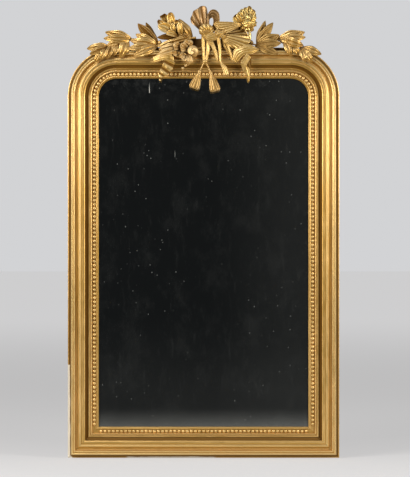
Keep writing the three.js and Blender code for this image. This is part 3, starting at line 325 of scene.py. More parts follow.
# ---------------------------------------------------------------------------- finishes
@dataclass(frozen=True)
class GiltFinish:
    """Old water gilding: leaf, toned in the hollows with real dirt and painted shade, and rubbed through to
    red bole on the ridges.
    """

    name: str
    bright: Colour = (0.88, 0.56, 0.19)
    toned: Colour = (0.54, 0.30, 0.055)
    # Colour of the hollows: real dirt, and painted shade where the hollows lie in shadow.
    dirt_and_shade: Colour = (0.155, 0.066, 0.008)
    bole: Colour = (0.42, 0.17, 0.06)
    # Paler colour of the ridges: real burnish and a painted highlight.
    burnish: Colour = (1.0, 0.79, 0.38)
    gesso: Colour = (0.86, 0.78, 0.62)
    roughness: Flat = (0.30, 0.48)
    metal: float = 0.74
    patch_scale: float = 9.0
    rubbing: float = 0.3
    polish_and_highlight: float = 0.55
    hollow_dirt_and_shade: float = 0.96
    run: Place = (1.0, 1.0, 1.0)
    # Painted top light: how much lighter faces that look up are toned, and how much darker those that look
    # down.
    upper: float = 0.0
    chipped: bool = False
    # Reach in metres of the painted crevice shade, 0 for none.
    crevice: float = 0.0
    half_frame: float = 0.475

    def material(self) -> bpy.types.Material:
        """Builds the node material.

        Returns:
            The finished material.
        """
        shader = Shader(self.name)
        along = shader.stretched(self.run)
        patches = shader.noise(self.patch_scale, 5, 0.6, along)
        mottle = shader.noise(self.patch_scale * 11, 4, 0.65, along)
        grain = shader.noise(self.patch_scale * 60, 3, 0.6)
        tone = shader.math("ADD", shader.math("MULTIPLY", patches, 0.6), shader.math("MULTIPLY", mottle, 0.4))
        # Painted top light: the tone shifts lighter on faces that look up and darker on faces that look down.
        painted_top_light = shader.math("SUBTRACT", shader.step(shader.normal("Z"), -0.6, 0.7), 0.46)
        tone = shader.math("ADD", tone, shader.math("MULTIPLY", painted_top_light, self.upper))
        leaf = shader.blend(shader.step(tone, 0.36, 0.62), self.toned, self.bright)
        # Ridges are burnished paler: partly real burnish, partly a painted highlight.
        ridge = shader.attribute("ridge")
        leaf = shader.blend(shader.math("MULTIPLY", ridge, self.polish_and_highlight), leaf, self.burnish)

        hollow = shader.attribute("hollow")
        # Painted shade: the gilding darkens where other faces close round it.
        if self.crevice:
            shut = shader.math("MULTIPLY", shader.math("SUBTRACT", 1.0, shader.openness(self.crevice)), 1.9)
            hollow = shader.math("MAXIMUM", hollow, shader.math("SUBTRACT", shut, 0.35))
        broken = shader.math("MULTIPLY", shader.math("SUBTRACT", mottle, 0.5), 0.5)
        ragged = shader.math("ADD", hollow, broken)
        # The hollows darken towards the dirt colour: partly real dirt, partly painted shade.
        dirt_and_shade_share = shader.math("MULTIPLY", shader.step(ragged, 0.18, 0.85), self.hollow_dirt_and_shade)
        colour = shader.blend(dirt_and_shade_share, leaf, self.dirt_and_shade)

        worn = shader.math("ADD", shader.math("MULTIPLY", ridge, 0.34), shader.math("MULTIPLY", mottle, 0.66))
        rubbed = shader.math("MULTIPLY", shader.step(
            shader.math("ADD", worn, shader.math("MULTIPLY", patches, 0.35)), 0.80, 0.93), self.rubbing)
        colour = shader.blend(rubbed, colour, self.bole)
        bare = shader.math("MULTIPLY", rubbed, 0.75)
        if self.chipped:
            lost = self.chips(shader, mottle)
            colour = shader.blend(lost, colour, self.gesso)
            bare = shader.math("MAXIMUM", bare, lost)

        covered = shader.math("MAXIMUM", bare, shader.math("MULTIPLY", dirt_and_shade_share, 0.55))
        metal = shader.math("MULTIPLY", shader.math("SUBTRACT", 1.0, covered), self.metal)
        rough = shader.spread(mottle, *self.roughness)
        rough = shader.math("ADD", rough, shader.math("MULTIPLY", dirt_and_shade_share, 0.30))
        rough = shader.math("ADD", rough, shader.math("MULTIPLY", bare, 0.30), clamp=True)
        normal = shader.bump(patches, 0.35, 0.0025)
        normal = shader.bump(mottle, 0.30, 0.0006, normal)
        normal = shader.bump(grain, 0.16, 0.0002, normal)
        sheen = shader.math("SUBTRACT", 0.22, shader.math("MULTIPLY", dirt_and_shade_share, 0.20), clamp=True)
        return shader.dress(Base_Color=colour, Metallic=metal, Roughness=rough, Normal=normal,
                            Specular_IOR_Level=sheen)

    def chips(self, shader: Shader, mottle: bpy.types.NodeSocket) -> bpy.types.NodeSocket:
        """Gesso laid bare along the lower left edge and the lower left corner.

        Args:
            shader: The material that is being built.
            mottle: The fine pattern that breaks the chips' outline.

        Returns:
            1 where the gilding is lost.
        """
        ragged = shader.math("MULTIPLY", shader.math("SUBTRACT", mottle, 0.5), 0.007)
        x = shader.math("ADD", shader.axis("X"), ragged)
        z = shader.math("ADD", shader.axis("Z"), ragged)
        left = shader.math("MULTIPLY", shader.step(x, -0.4662, -0.4674), shader.step(z, 0.328, 0.325))
        span = shader.math("MULTIPLY", shader.step(x, -0.275, -0.262), shader.step(x, 0.05, 0.03))
        under = shader.math("MULTIPLY", shader.step(z, 0.0050, 0.0035), span)
        corner = shader.math("ADD", shader.axis("Z"), shader.math("ADD", x, self.half_frame))
        edges = shader.math("MAXIMUM", left, under)
        return shader.math("MAXIMUM", edges, shader.step(corner, 0.022, 0.016))


@dataclass(frozen=True)
class CrestGilt(GiltFinish):
    """Gilding of the carved crest: smaller patches of tone, less burnish and painted highlight, and painted
    shade in every crevice.
    """

    patch_scale: float = 16.0
    polish_and_highlight: float = 0.15
    upper: float = 0.5
    crevice: float = 0.040


@dataclass(frozen=True)
class MirrorFinish:
    """Old silvering: dark, clouded towards the foot, with faint foxing at the rim, specks and scratches."""

    name: str = "old_silvered_glass"
    silver: Colour = (0.34, 0.36, 0.35)
    cloud: Colour = (0.056, 0.060, 0.058)
    foxing: Colour = (0.012, 0.030, 0.036)
    mark: Colour = (0.22, 0.23, 0.23)
    scratch: Colour = (0.46, 0.46, 0.42)
    half_width: float = 0.367
    bottom: float = 0.108
    top: float = 1.327
    scratch_x: float = -0.1896
    scratch_z: Flat = (1.2745, 1.319)

    def material(self) -> bpy.types.Material:
        """Builds the node material.

        Returns:
            The finished material.
        """
        shader = Shader(self.name)
        x, z = shader.axis("X"), shader.axis("Z")
        broad = shader.noise(4, 5, 0.6)
        fine = shader.noise(48, 4, 0.62)
        streaks = shader.noise(60, 4, 0.65, shader.stretched((1, 1, 0.22)))

        foot = shader.math("MULTIPLY", shader.step(z, self.bottom + 0.07, self.bottom - 0.02), 0.27)
        low = shader.math("MULTIPLY", shader.step(z, self.bottom + 0.42, self.bottom), 0.030)
        right = shader.math("MULTIPLY", shader.step(x, 0.0, self.half_width), 0.026)
        veil = shader.math("ADD", shader.math("ADD", foot, low), right)
        veil = shader.math("MULTIPLY", veil, shader.spread(broad, 0.45, 1.45))
        veil = shader.math("ADD", veil, shader.math("MULTIPLY", shader.step(streaks, 0.54, 0.78), 0.018))
        patchy = shader.noise(11, 6, 0.72, shader.stretched((1, 1, 0.7), (2.3, 0, 5.1)))
        veil = shader.math("ADD", veil, shader.math("MULTIPLY", shader.step(patchy, 0.47, 0.68), 0.016))

        wander = shader.math("MULTIPLY", shader.math("SUBTRACT", broad, 0.5), 0.12)
        side = shader.step(shader.math("ADD", x, wander), self.half_width - 0.05, self.half_width)
        head = shader.step(shader.math("SUBTRACT", z, wander), self.top - 0.09, self.top)
        rim = shader.math("MAXIMUM", side, head)
        foxed = shader.math("MULTIPLY", shader.math("MULTIPLY", rim, shader.step(fine, 0.42, 0.72)), 0.055)

        dots = shader.step(shader.cells(48, shader.stretched((1, 1, 0.8))), 0.115, 0.045)
        where = shader.noise(5, 2, 0.5, shader.stretched((1, 1, 1), (3.1, 0, 1.7)))
        dots = shader.math("MULTIPLY", dots, shader.math("MULTIPLY", shader.step(where, 0.44, 0.58), 0.45))
        strokes = shader.step(shader.cells(20, shader.stretched((1, 1, 0.10), (0.4, 0, 0.9))), 0.036, 0.014)
        where = shader.noise(3.2, 2, 0.5, shader.stretched((1, 1, 1), (7.7, 0, 4.2)))
        share = shader.math("MULTIPLY", shader.step(where, 0.46, 0.60), 0.7)
        strokes = shader.math("MULTIPLY", strokes, share)
        marks = shader.math("MAXIMUM", dots, strokes)
        low, high = self.scratch_z
        aside = shader.math("ABSOLUTE", shader.math("SUBTRACT", x, self.scratch_x))
        line = shader.step(aside, 0.0020, 0.0008)
        line = shader.math("MULTIPLY", line, shader.step(z, low, low + 0.004))
        line = shader.math("MULTIPLY", line, shader.step(z, high, high - 0.035))

        colour = shader.blend(veil, self.silver, self.cloud)
        colour = shader.blend(foxed, colour, self.foxing)
        colour = shader.blend(marks, colour, self.mark)
        colour = shader.blend(line, colour, self.scratch)
        worn = shader.math("MAXIMUM", marks, line)
        dull = shader.math("MAXIMUM", shader.math("MAXIMUM", veil, foxed), worn)
        metal = shader.math("SUBTRACT", 1.0, dull, clamp=True)
        rough = shader.math("ADD", 0.035, shader.math("MULTIPLY", dull, 0.45))
        normal = shader.bump(shader.noise(2.2, 2, 0.4), 0.05, 0.002)
        sheen = shader.math("SUBTRACT", 0.5, shader.math("MULTIPLY", dull, 0.48), clamp=True)
        return shader.dress(Base_Color=colour, Metallic=metal, Roughness=rough, Normal=normal,
                            Specular_IOR_Level=sheen, Coat_Weight=0.35, Coat_Roughness=0.04)


@dataclass(frozen=True)
class PineFinish:
    """Bare aged pine with its grain along one axis."""

    name: str
    grain: Place
    light: Colour = (0.42, 0.26, 0.12)
    dark: Colour = (0.17, 0.090, 0.036)
    stain: Colour = (0.10, 0.055, 0.025)

    def material(self) -> bpy.types.Material:
        """Builds the node material.

        Returns:
            The finished material.
        """
        shader = Shader(self.name)
        along = shader.stretched(self.grain)
        rings = shader.noise(26, 3, 0.5, along)
        lines = shader.math("PINGPONG", shader.math("MULTIPLY", rings, 9.0), 0.5)
        fibre = shader.noise(240, 4, 0.7, along)
        soiled = shader.math("MULTIPLY", shader.step(shader.noise(4, 4, 0.6), 0.45, 0.75), 0.5)
        share = shader.math("ADD", shader.math("MULTIPLY", lines, 0.9), shader.math("MULTIPLY", fibre, 0.35))
        colour = shader.blend(shader.step(share, 0.15, 0.85), self.light, self.dark)
        colour = shader.blend(soiled, colour, self.stain)
        rough = shader.spread(fibre, 0.62, 0.88)
        normal = shader.bump(fibre, 0.4, 0.0006)
        return shader.dress(Base_Color=colour, Metallic=0.0, Roughness=rough, Normal=normal)


@dataclass(frozen=True)
class IronFinish:
    """Dark wrought iron with a little rust."""

    name: str = "wrought_iron"
    iron: Colour = (0.075, 0.070, 0.066)
    rust: Colour = (0.19, 0.075, 0.030)

    def material(self) -> bpy.types.Material:
        """Builds the node material.

        Returns:
            The finished material.
        """
        shader = Shader(self.name)
        pits = shader.noise(900, 5, 0.7)
        blotch = shader.noise(130, 4, 0.6)
        rusty = shader.step(shader.math("ADD", shader.math("MULTIPLY", blotch, 0.7),
                                        shader.math("MULTIPLY", pits, 0.3)), 0.50, 0.64)
        colour = shader.blend(rusty, self.iron, self.rust)
        metal = shader.math("SUBTRACT", 0.9, shader.math("MULTIPLY", rusty, 0.8))
        rough = shader.math("ADD", 0.48, shader.math("MULTIPLY", rusty, 0.35))
        return shader.dress(Base_Color=colour, Metallic=metal, Roughness=rough,
                            Normal=shader.bump(pits, 0.5, 0.0004))


# ---------------------------------------------------------------------------- mesh helpers
class Carving:
    """A bmesh with the two attributes that the gilding reads: ridge, where it wears and is burnished paler,
    partly a painted highlight, and hollow, where it darkens with real dirt and painted shade.
    """

    def __init__(self, name: str) -> None:
        """Starts an empty mesh.

        Args:
            name: Name of the piece to be.
        """
        self.name = name
        self.bm = bmesh.new()
        self.ridge = self.bm.verts.layers.float.new("ridge")
        self.hollow = self.bm.verts.layers.float.new("hollow")

    def mark(self, vert: bmesh.types.BMVert, ridge: float, hollow: float) -> None:
        """Sets a vertex's wear and its darkening, which is real dirt and painted shade."""
        vert[self.ridge] = ridge
        vert[self.hollow] = hollow

    def sheet(self, columns: int, rows: int,
              place: Callable[[float, float], Spot]) -> list[bmesh.types.BMVert]:
        """Adds a grid and bends it to a shape.

        Args:
            columns: Faces along u.
            rows: Faces along v.
            place: Gives the spot for u from 0 to 1 and v from -1 to 1.

        Returns:
            The grid's vertices.
        """
        verts = bmesh.ops.create_grid(self.bm, x_segments=columns, y_segments=rows, size=1.0)["verts"]
        for vert in verts:
            point, ridge, hollow = place((vert.co.x + 1) / 2, vert.co.y)
            vert.co = point * MM
            self.mark(vert, ridge, hollow)
        return verts

    def tube(self, route: "Route", radius: Callable[[float, float], float], steps: int, sides: int,
             flatten: float = 1.0, dirt_and_shade: Callable[[float, float], float] | None = None) -> None:
        """Adds a closed tube along a route.

        Args:
            route: The tube's middle line.
            radius: Gives the radius in millimetres for a share along and an angle round.
            steps: Rings along the route.
            sides: Faces round it.
            flatten: Factor on the depth of its section.
            dirt_and_shade: Gives the hollow mark for a share along and an angle round.
        """
        forward = Vector((0, -1, 0))

        def place(u: float, v: float) -> Spot:
            """The tube's spot for a place in the sheet.

            Args:
                u: Share of the way along the tube.
                v: Share of half a turn round it, from -1 to 1.

            Returns:
                The point, ridge and hollow.
            """
            angle = math.pi * (v + 1)
            reach = radius(u, angle)
            sideways = route.across(u) * (reach * math.cos(angle))
            point = route.at(u) + sideways + forward * (reach * flatten * math.sin(angle))
            # Painted shade on the tube's back, away from the front, through the hollow mark; the front gets
            # the ridge mark, partly a painted highlight.
            back_shade = 0.25 - 0.25 * math.sin(angle)
            return point, 0.4 + 0.4 * math.sin(angle), max(back_shade, dirt_and_shade(u, angle)) if dirt_and_shade else back_shade

        verts = self.sheet(steps, sides, place)
        bmesh.ops.remove_doubles(self.bm, verts=verts, dist=1e-6)
        rims = [edge for edge in self.bm.edges if edge.is_boundary]
        bmesh.ops.holes_fill(self.bm, edges=rims, sides=0)

    def ball(self, middle: Vector, radii: Place, shape: Callable[[Vector], tuple[float, float, float]],
             segments: int = 24, rings: int = 14) -> None:
        """Adds a swollen body.

        Args:
            middle: Its centre in millimetres.
            radii: Its half sizes along X, Y and Z in millimetres.
            shape: Gives the factor on the radius, ridge and hollow for a unit direction.
            segments: Faces round it.
            rings: Faces from pole to pole.
        """
        facing = Matrix.Rotation(math.pi / 2, 3, "X")
        made = bmesh.ops.create_uvsphere(self.bm, u_segments=segments, v_segments=rings, radius=1.0)
        for vert in made["verts"]:
            direction = facing @ vert.co.normalized()
            factor, ridge, hollow = shape(direction)
            vert.co = (middle + Vector(d * r * factor for d, r in zip(direction, radii))) * MM
            self.mark(vert, ridge, hollow)

    def finish(self, look: bpy.types.Material, stands_for: Sequence[str],
               thickness: float = 0.0, subdivisions: int = 0, sharp: float = 40.0) -> bpy.types.Object:
        """Turns the mesh into a piece of the object.

        Args:
            look: Its material.
            stands_for: CAD nodes that it replaces.
            thickness: Millimetres that a sheet gets, 0 for a solid.
            subdivisions: Levels of subdivision surface.
            sharp: Degrees from which an edge stays sharp.

        Returns:
            The new object.
        """
        bmesh.ops.recalc_face_normals(self.bm, faces=self.bm.faces[:])
        for face in self.bm.faces:
            face.smooth = True
        mesh = bpy.data.meshes.new(self.name)
        self.bm.to_mesh(mesh)
        self.bm.free()
        mesh.set_sharp_from_angle(angle=math.radians(sharp))
        piece = bpy.data.objects.new(self.name, mesh)
        bpy.context.collection.objects.link(piece)
        mesh.materials.append(look)
        if thickness:
            wall = piece.modifiers.new("thickness", "SOLIDIFY")
            wall.thickness = thickness * MM
            wall.offset = 0.0
        if subdivisions:
            smooth = piece.modifiers.new("smooth", "SUBSURF")
            smooth.levels = smooth.render_levels = subdivisions
        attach(piece, FRAME_BODY)
        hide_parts(*stands_for)
        LOG.info("%s: %d faces", piece.name, len(mesh.polygons))
        return piece


class Route:
    """A smooth line through points in millimetres."""

    def __init__(self, points: Sequence[Vector]) -> None:
        """Takes the points.

        Args:
            points: At least two points.
        """
        self.points = list(points)

    def at(self, u: float) -> Vector:
        """A point on the smooth curve through the points.

        Args:
            u: Share of the way along, from 0 to 1.

        Returns:
            The point.
        """
        last = len(self.points) - 1
        here = min(int(u * last), last - 1)
        t = u * last - here
        b, c = self.points[here], self.points[here + 1]
        a = self.points[here - 1] if here else b * 2 - c
        d = self.points[here + 2] if here + 2 <= last else c * 2 - b
        return 0.5 * (2 * b + (c - a) * t + (2 * a - 5 * b + 4 * c - d) * t * t
                      + (3 * b - a - 3 * c + d) * t ** 3)

    def along(self, u: float) -> Vector:
        """The direction of travel at share u."""
        ahead, behind = self.at(min(u + 0.01, 1.0)), self.at(max(u - 0.01, 0.0))
        return (ahead - behind).normalized()

    def across(self, u: float) -> Vector:
        """The direction across the line, in the plane of the frame.

        Args:
            u: Share of the way along.

        Returns:
            The direction, of length 1.
        """
        way = self.along(u)
        flat = Vector((-way.z, 0, way.x))
        return flat.normalized() if flat.length > 1e-6 else Vector((1, 0, 0))


def raised(place: Place, top: float) -> Vector:
    """A place given above the frame's top, as a point of the whole mirror."""
    return Vector((place[0], place[1], place[2] + top))


def petalled(d: Vector, folds: int, swell: float, phase: float = 0.0) -> float:
    """The factor on a ball's radius in a direction, for folds that run from front to back."""
    return 1 + swell * math.cos(folds * math.atan2(d.z, d.x) + phase)


def parabola(values: Place, t: float) -> float:
    """The value at t of the parabola through three values at 0, 1/2 and 1."""
    start, middle, end = values
    return (1 - t) * (1 - 2 * t) * start + 4 * t * (1 - t) * middle + t * (2 * t - 1) * end


# ---------------------------------------------------------------------------- frame
@dataclass
class FrameSizes:
    """Sizes of the frame in millimetres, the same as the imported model's."""

    width: float = 950
    height: float = 1435
    moulding: float = 108
    corner: float = 63
    face: float = -12

    @property
    def sight_x(self) -> float:
        """X of the right sight edge."""
        return self.width / 2 - self.moulding

    @property
    def sight_top(self) -> float:
        """Z of the upper sight edge."""
        return self.height - self.moulding

    @property
    def corner_x(self) -> float:
        """X of the middle of the right upper corner."""
        return self.sight_x - self.corner

    @property
    def corner_z(self) -> float:
        """Z of the middle of the upper corners."""
        return self.sight_top - self.corner


class Member(Enum):
    """What a member of the moulding's section is, with its (ridge, hollow); hollow darkens it with real dirt
    and painted shade.
    """

    FLAT = (0.15, 0.10)
    RIDGE = (0.7, 0.0)
    ROLL = (0.2, 0.05)
    COVE = (0.0, 0.75)
    DEEP = (0.0, 1.5)
    TROUGH = (0.0, 1.3)
    HOLLOW = (0.05, 0.45)
    QUIRK = (0.0, 1.0)
    REED = (1.0, 0.0)


@dataclass(frozen=True)
class Step:
    """One member of the section: where it ends, how far it swells out and what it is."""

    end: Flat
    swell: float
    kind: Member


@dataclass
class Moulding:
    """The six gilt runs round the frame."""

    sizes: FrameSizes = field(default_factory=FrameSizes)
    mitre_gap: float = 0.35
    arc_steps: int = 7
    corner_steps: int = 28
    start: Flat = (0.0, 0.3)
    steps: tuple[Step, ...] = (
        Step((0.0, 6.0), 0.0, Member.QUIRK),
        Step((3.2, 7.4), 0.0, Member.QUIRK),
        Step((7.6, 8.4), 1.2, Member.ROLL),
        Step((8.0, 6.0), 0.0, Member.COVE),
        Step((21.4, 6.0), 0.0, Member.COVE),
        Step((21.7, 11.4), 0.0, Member.HOLLOW),
        Step((28.9, 12.2), 4.0, Member.RIDGE),
        Step((29.4, 14.0), 0.0, Member.QUIRK),
        Step((34.8, 15.0), 0.3, Member.ROLL),
        Step((35.4, 10.4), 0.0, Member.QUIRK),
        Step((46.2, 25.6), -4.2, Member.DEEP),
        Step((47.0, 26.6), 0.0, Member.HOLLOW),
        Step((58.4, 28.4), 1.5, Member.ROLL),
        Step((59.2, 28.9), -0.2, Member.COVE),
        Step((70.6, 30.0), 3.4, Member.RIDGE),
        Step((71.2, 27.4), 0.0, Member.COVE),
        Step((79.6, 31.4), -2.8, Member.HOLLOW),
        Step((80.4, 35.2), 0.0, Member.HOLLOW),
        Step((87.4, 37.8), 3.2, Member.REED),
        Step((95.8, 37.0), 4.2, Member.REED),
        Step((96.4, 33.0), 0.0, Member.QUIRK),
        Step((104.0, 11.0), -4.6, Member.TROUGH),
        Step((104.6, 9.0), 0.0, Member.QUIRK),
        Step((107.6, 8.4), 0.2, Member.FLAT),
        Step((107.6, 0.3), 0.0, Member.FLAT),
    )

    def section(self) -> list[tuple[float, float, float, float]]:
        """The section's points.

        Returns:
            Distance out from the sight edge, height above the carcass, ridge and hollow of each point.
        """
        points = [(*self.start, *Member.FLAT.value)]
        at = Vector(self.start)
        for step in self.steps:
            end = Vector(step.end)
            chord = end - at
            out = Vector((-chord.y, chord.x)).normalized()
            ridge, hollow = step.kind.value
            count = self.arc_steps if step.swell else 1
            for i in range(1, count + 1):
                t = i / count
                bulge = 4 * t * (1 - t)
                point = at + chord * t + out * (step.swell * bulge)
                # The ends of a swelling member get a hollow mark: real dirt and painted shade where it meets
                # its neighbours.
                edge = 0.0 if step.swell <= 0 else 0.42 * (1 - bulge)
                points.append((point.x, point.y, ridge * bulge if step.swell > 0 else ridge,
                               max(hollow, edge) if step.swell > 0 else hollow * (0.45 + 0.55 * bulge)))
            at = end
        return points

    def ring(self, carving: Carving, base: Vector, out: Vector) -> list[bmesh.types.BMEdge]:
        """Adds the closed section at one end of a run.

        Args:
            carving: The mesh to add to.
            base: Where the sight edge is.
            out: The way out from it; longer than 1 at a mitre.

        Returns:
            The section's edges.
        """
        verts = []
        for distance, height, ridge, hollow in self.section():
            point = base + out * distance + Vector((0, self.sizes.face - height, 0))
            vert = carving.bm.verts.new(point * MM)
            carving.mark(vert, ridge, hollow)
            verts.append(vert)
        return [carving.bm.edges.new((a, b)) for a, b in zip(verts, verts[1:] + verts[:1])]

    def cap(self, carving: Carving) -> None:
        """Closes the two open ends of a run."""
        rims = [edge for edge in carving.bm.edges if edge.is_boundary]
        bmesh.ops.holes_fill(carving.bm, edges=rims, sides=0)

    def straight(self, name: str, start: tuple[Vector, Vector], end: tuple[Vector, Vector],
                 look: bpy.types.Material) -> bpy.types.Object:
        """A straight run between two ends, each a base and a way out.

        Args:
            name: The CAD node that it stands for.
            start: Base and way out at the start.
            end: The same at the end.
            look: The gilding.

        Returns:
            The piece.
        """
        carving = Carving(name + "_gilt")
        edges = self.ring(carving, *start)
        made = bmesh.ops.extrude_edge_only(carving.bm, edges=edges)["geom"]
        (base, out), (far, far_out) = start, end
        for vert in (item for item in made if isinstance(item, bmesh.types.BMVert)):
            flat = vert.co / MM - base
            distance = Vector((flat.x, 0, flat.z)).length / out.length
            vert.co = (far + far_out * distance + Vector((0, vert.co.y / MM, 0))) * MM
        self.cap(carving)
        return carving.finish(look, [name], sharp=34)

    def round_corner(self, side: Side, look: bpy.types.Material) -> bpy.types.Object:
        """A quarter turn at an upper corner.

        Args:
            side: Which corner.
            look: The gilding.

        Returns:
            The piece.
        """
        name = f"moulding_corner_{side.label}"
        carving = Carving(name + "_gilt")
        sizes = self.sizes
        edges = self.ring(carving, Vector((side.value * sizes.sight_x, 0, sizes.corner_z)),
                          Vector((side.value, 0, 0)))
        verts = list(dict.fromkeys(vert for edge in edges for vert in edge.verts))
        bmesh.ops.spin(carving.bm, geom=edges + verts,
                       cent=Vector((side.value * sizes.corner_x, 0, sizes.corner_z)) * MM,
                       axis=(0, -1, 0), dvec=(0, 0, 0), angle=side.value * math.pi / 2,
                       steps=self.corner_steps, use_merge=False, use_duplicate=False)
        self.cap(carving)
        return carving.finish(look, [name], sharp=34)

    def build(self, upright: bpy.types.Material, level: bpy.types.Material,
              turned: bpy.types.Material) -> None:
        """Makes all six runs.

        Args:
            upright: Gilding of the stiles.
            level: Gilding of the rails.
            turned: Gilding of the round corners.
        """
        sizes = self.sizes
        low = sizes.moulding
        for side in Side:
            x = side.value * sizes.sight_x
            self.straight(f"moulding_{side.label}",
                          (Vector((x, 0, low + self.mitre_gap)), Vector((side.value, 0, -1))),
                          (Vector((x, 0, sizes.corner_z)), Vector((side.value, 0, 0))), upright)
            self.round_corner(side, turned)
        inner = sizes.sight_x
        self.straight("moulding_bottom", (Vector((-inner, 0, low)), Vector((-1, 0, -1))),
                      (Vector((inner, 0, low)), Vector((1, 0, -1))), level)
        self.straight("moulding_top", (Vector((-sizes.corner_x, 0, sizes.sight_top)), Vector((0, 0, 1))),
                      (Vector((sizes.corner_x, 0, sizes.sight_top)), Vector((0, 0, 1))), level)


@dataclass
class Pearls:
    """Rows of gilt pearls, each on a thin strip in the moulding's channel."""

    sizes: FrameSizes = field(default_factory=FrameSizes)
    line: float = 14.7
    pitch: float = 14.3
    radius: float = 6.8
    floor: float = 6.3
    strip: float = 1.6
    seat: float = 0.6
    wander: float = 0.2
    flatten: float = 0.92
    seed: int = 7

    def places(self) -> dict[str, list[Flat]]:
        """Where the pearls of each strip lie, as X and Z.

        Returns:
            The places by CAD node name.
        """
        sizes, rows = self.sizes, {}
        low, top = sizes.moulding, sizes.sight_top + self.line
        for side in Side:
            x = side.value * (sizes.sight_x + self.line)
            rows[f"pearls_{side.label}"] = self.spaced((x, low + self.line * 0.2), (x, sizes.corner_z))
            reach = sizes.corner + self.line
            count = round(reach * math.pi / 2 / self.pitch)
            angles = [math.pi / 2 * (i + 0.5) / count for i in range(count)]
            rows[f"pearls_corner_{side.label}"] = [
                (side.value * (sizes.corner_x + reach * math.cos(a)), sizes.corner_z + reach * math.sin(a))
                for a in angles]
        inner = sizes.sight_x - 1
        rows["pearls_bottom"] = self.spaced((-inner, low - self.line), (inner, low - self.line))
        rows["pearls_top"] = self.spaced((-sizes.corner_x, top), (sizes.corner_x, top))
        return rows

    def spaced(self, start: Flat, end: Flat) -> list[Flat]:
        """Evenly spaced places about a pitch apart, half a pitch in from the ends.

        Args:
            start: First end of the row.
            end: Last end of the row.

        Returns:
            The places.
        """
        a, b = Vector(start), Vector(end)
        count = round((b - a).length / self.pitch)
        return [tuple(a.lerp(b, (i + 0.5) / count)) for i in range(count)]

    def build(self, look: bpy.types.Material) -> None:
        """Makes every strip.

        Args:
            look: The gilding.
        """
        rng = random.Random(self.seed)
        foot = self.sizes.face - self.floor - self.strip
        for name, places in self.places().items():
            carving = Carving(name + "_gilt")
            for x, z in places:
                made = bmesh.ops.create_icosphere(carving.bm, subdivisions=2, radius=1.0)["verts"]
                size = self.radius * rng.uniform(0.94, 1.0)
                x += rng.uniform(-self.wander, self.wander)
                z += rng.uniform(-self.wander, self.wander)
                middle = Vector((x, foot + self.seat, z))
                for vert in made:
                    # Crowns get the ridge mark, burnished paler as partly a painted highlight; bases get the
                    # hollow mark, real dirt and painted shade where the pearls sit in the channel.
                    rise = -vert.co.y
                    carving.mark(vert, max(rise, 0.0) ** 2, min(1.0, max(0.0, 0.85 - rise * 2.2)))
                    vert.co = (middle + Vector((vert.co.x, vert.co.y * self.flatten, vert.co.z)) * size) * MM
            carving.finish(look, [name], sharp=180)


# ---------------------------------------------------------------------------- crest shapes
@dataclass(frozen=True)
class Leaf:
    """A laurel leaf from its stalk to its tip; places are X and Z above the frame's top, in millimetres."""

    stalk: Flat
    tip: Flat
    wide: float
    depth: Place
    tilt: float = 0.0
    crown: float = 0.20
    groove: float = 0.22
    vein: float = 0.11
    tip_drop: float = 0.05
    shade: float = 0.0

    def carve(self, carving: Carving, top: float, columns: int = 18, rows: int = 16) -> None:
        """Adds the blade to a mesh.

        Args:
            carving: The mesh.
            top: Z of the frame's top in millimetres.
            columns: Faces along the blade.
            rows: Faces across it.
        """
        run = Vector((self.tip[0] - self.stalk[0], 0, self.tip[1] - self.stalk[1]))
        length = run.length
        side = Vector((-run.z, 0, run.x)).normalized()

        def place(u: float, v: float) -> Spot:
            """The blade's spot for a place in the sheet.

            Args:
                u: Share of the way from stalk to tip.
                v: Share of the half width, from -1 to 1.

            Returns:
                The point, ridge and hollow.
            """
            outline = max(math.sin(math.pi * u ** 0.84), 0.0) ** 0.74
            outline *= 1 + 0.07 * math.sin(11 * u + self.wide + 2 * v)
            half = self.wide / 2 * max(outline, 0.10 * (1 - u) ** 3 + 0.015)
            rib = math.exp(-(v / 0.13) ** 2)
            veins = math.cos(5 * math.pi * v) * (1 - v * v) * min(1.0, 4 * u)
            relief = half * (self.crown * (1 - v * v) - self.groove * rib + self.vein * veins)
            past = max(0.0, (u - 0.6) / 0.4)
            level = parabola(self.depth, u) - relief + self.tilt * half * v
            level += self.tip_drop * length * past ** 2
            point = Vector((self.stalk[0], level, top + self.stalk[1])) + run * u + side * (half * v)
            ridge = 0.55 * abs(2 * abs(v) - 1) + 0.45 * abs(v) ** 6 + 0.5 * past
            # Rib, veins and stalk end get hollow marks, real dirt and painted shade; shade adds painted shade
            # to leaves that lie back in shadow.
            hollow = 0.9 * rib * (1 - 0.5 * u) + 0.7 * math.exp(-u / 0.10)
            hollow = max(hollow, 0.75 * max(0.0, -veins) ** 0.7) + self.shade
            return point, min(ridge, 1.0), min(hollow, 1.0)

        carving.sheet(columns, rows, place)


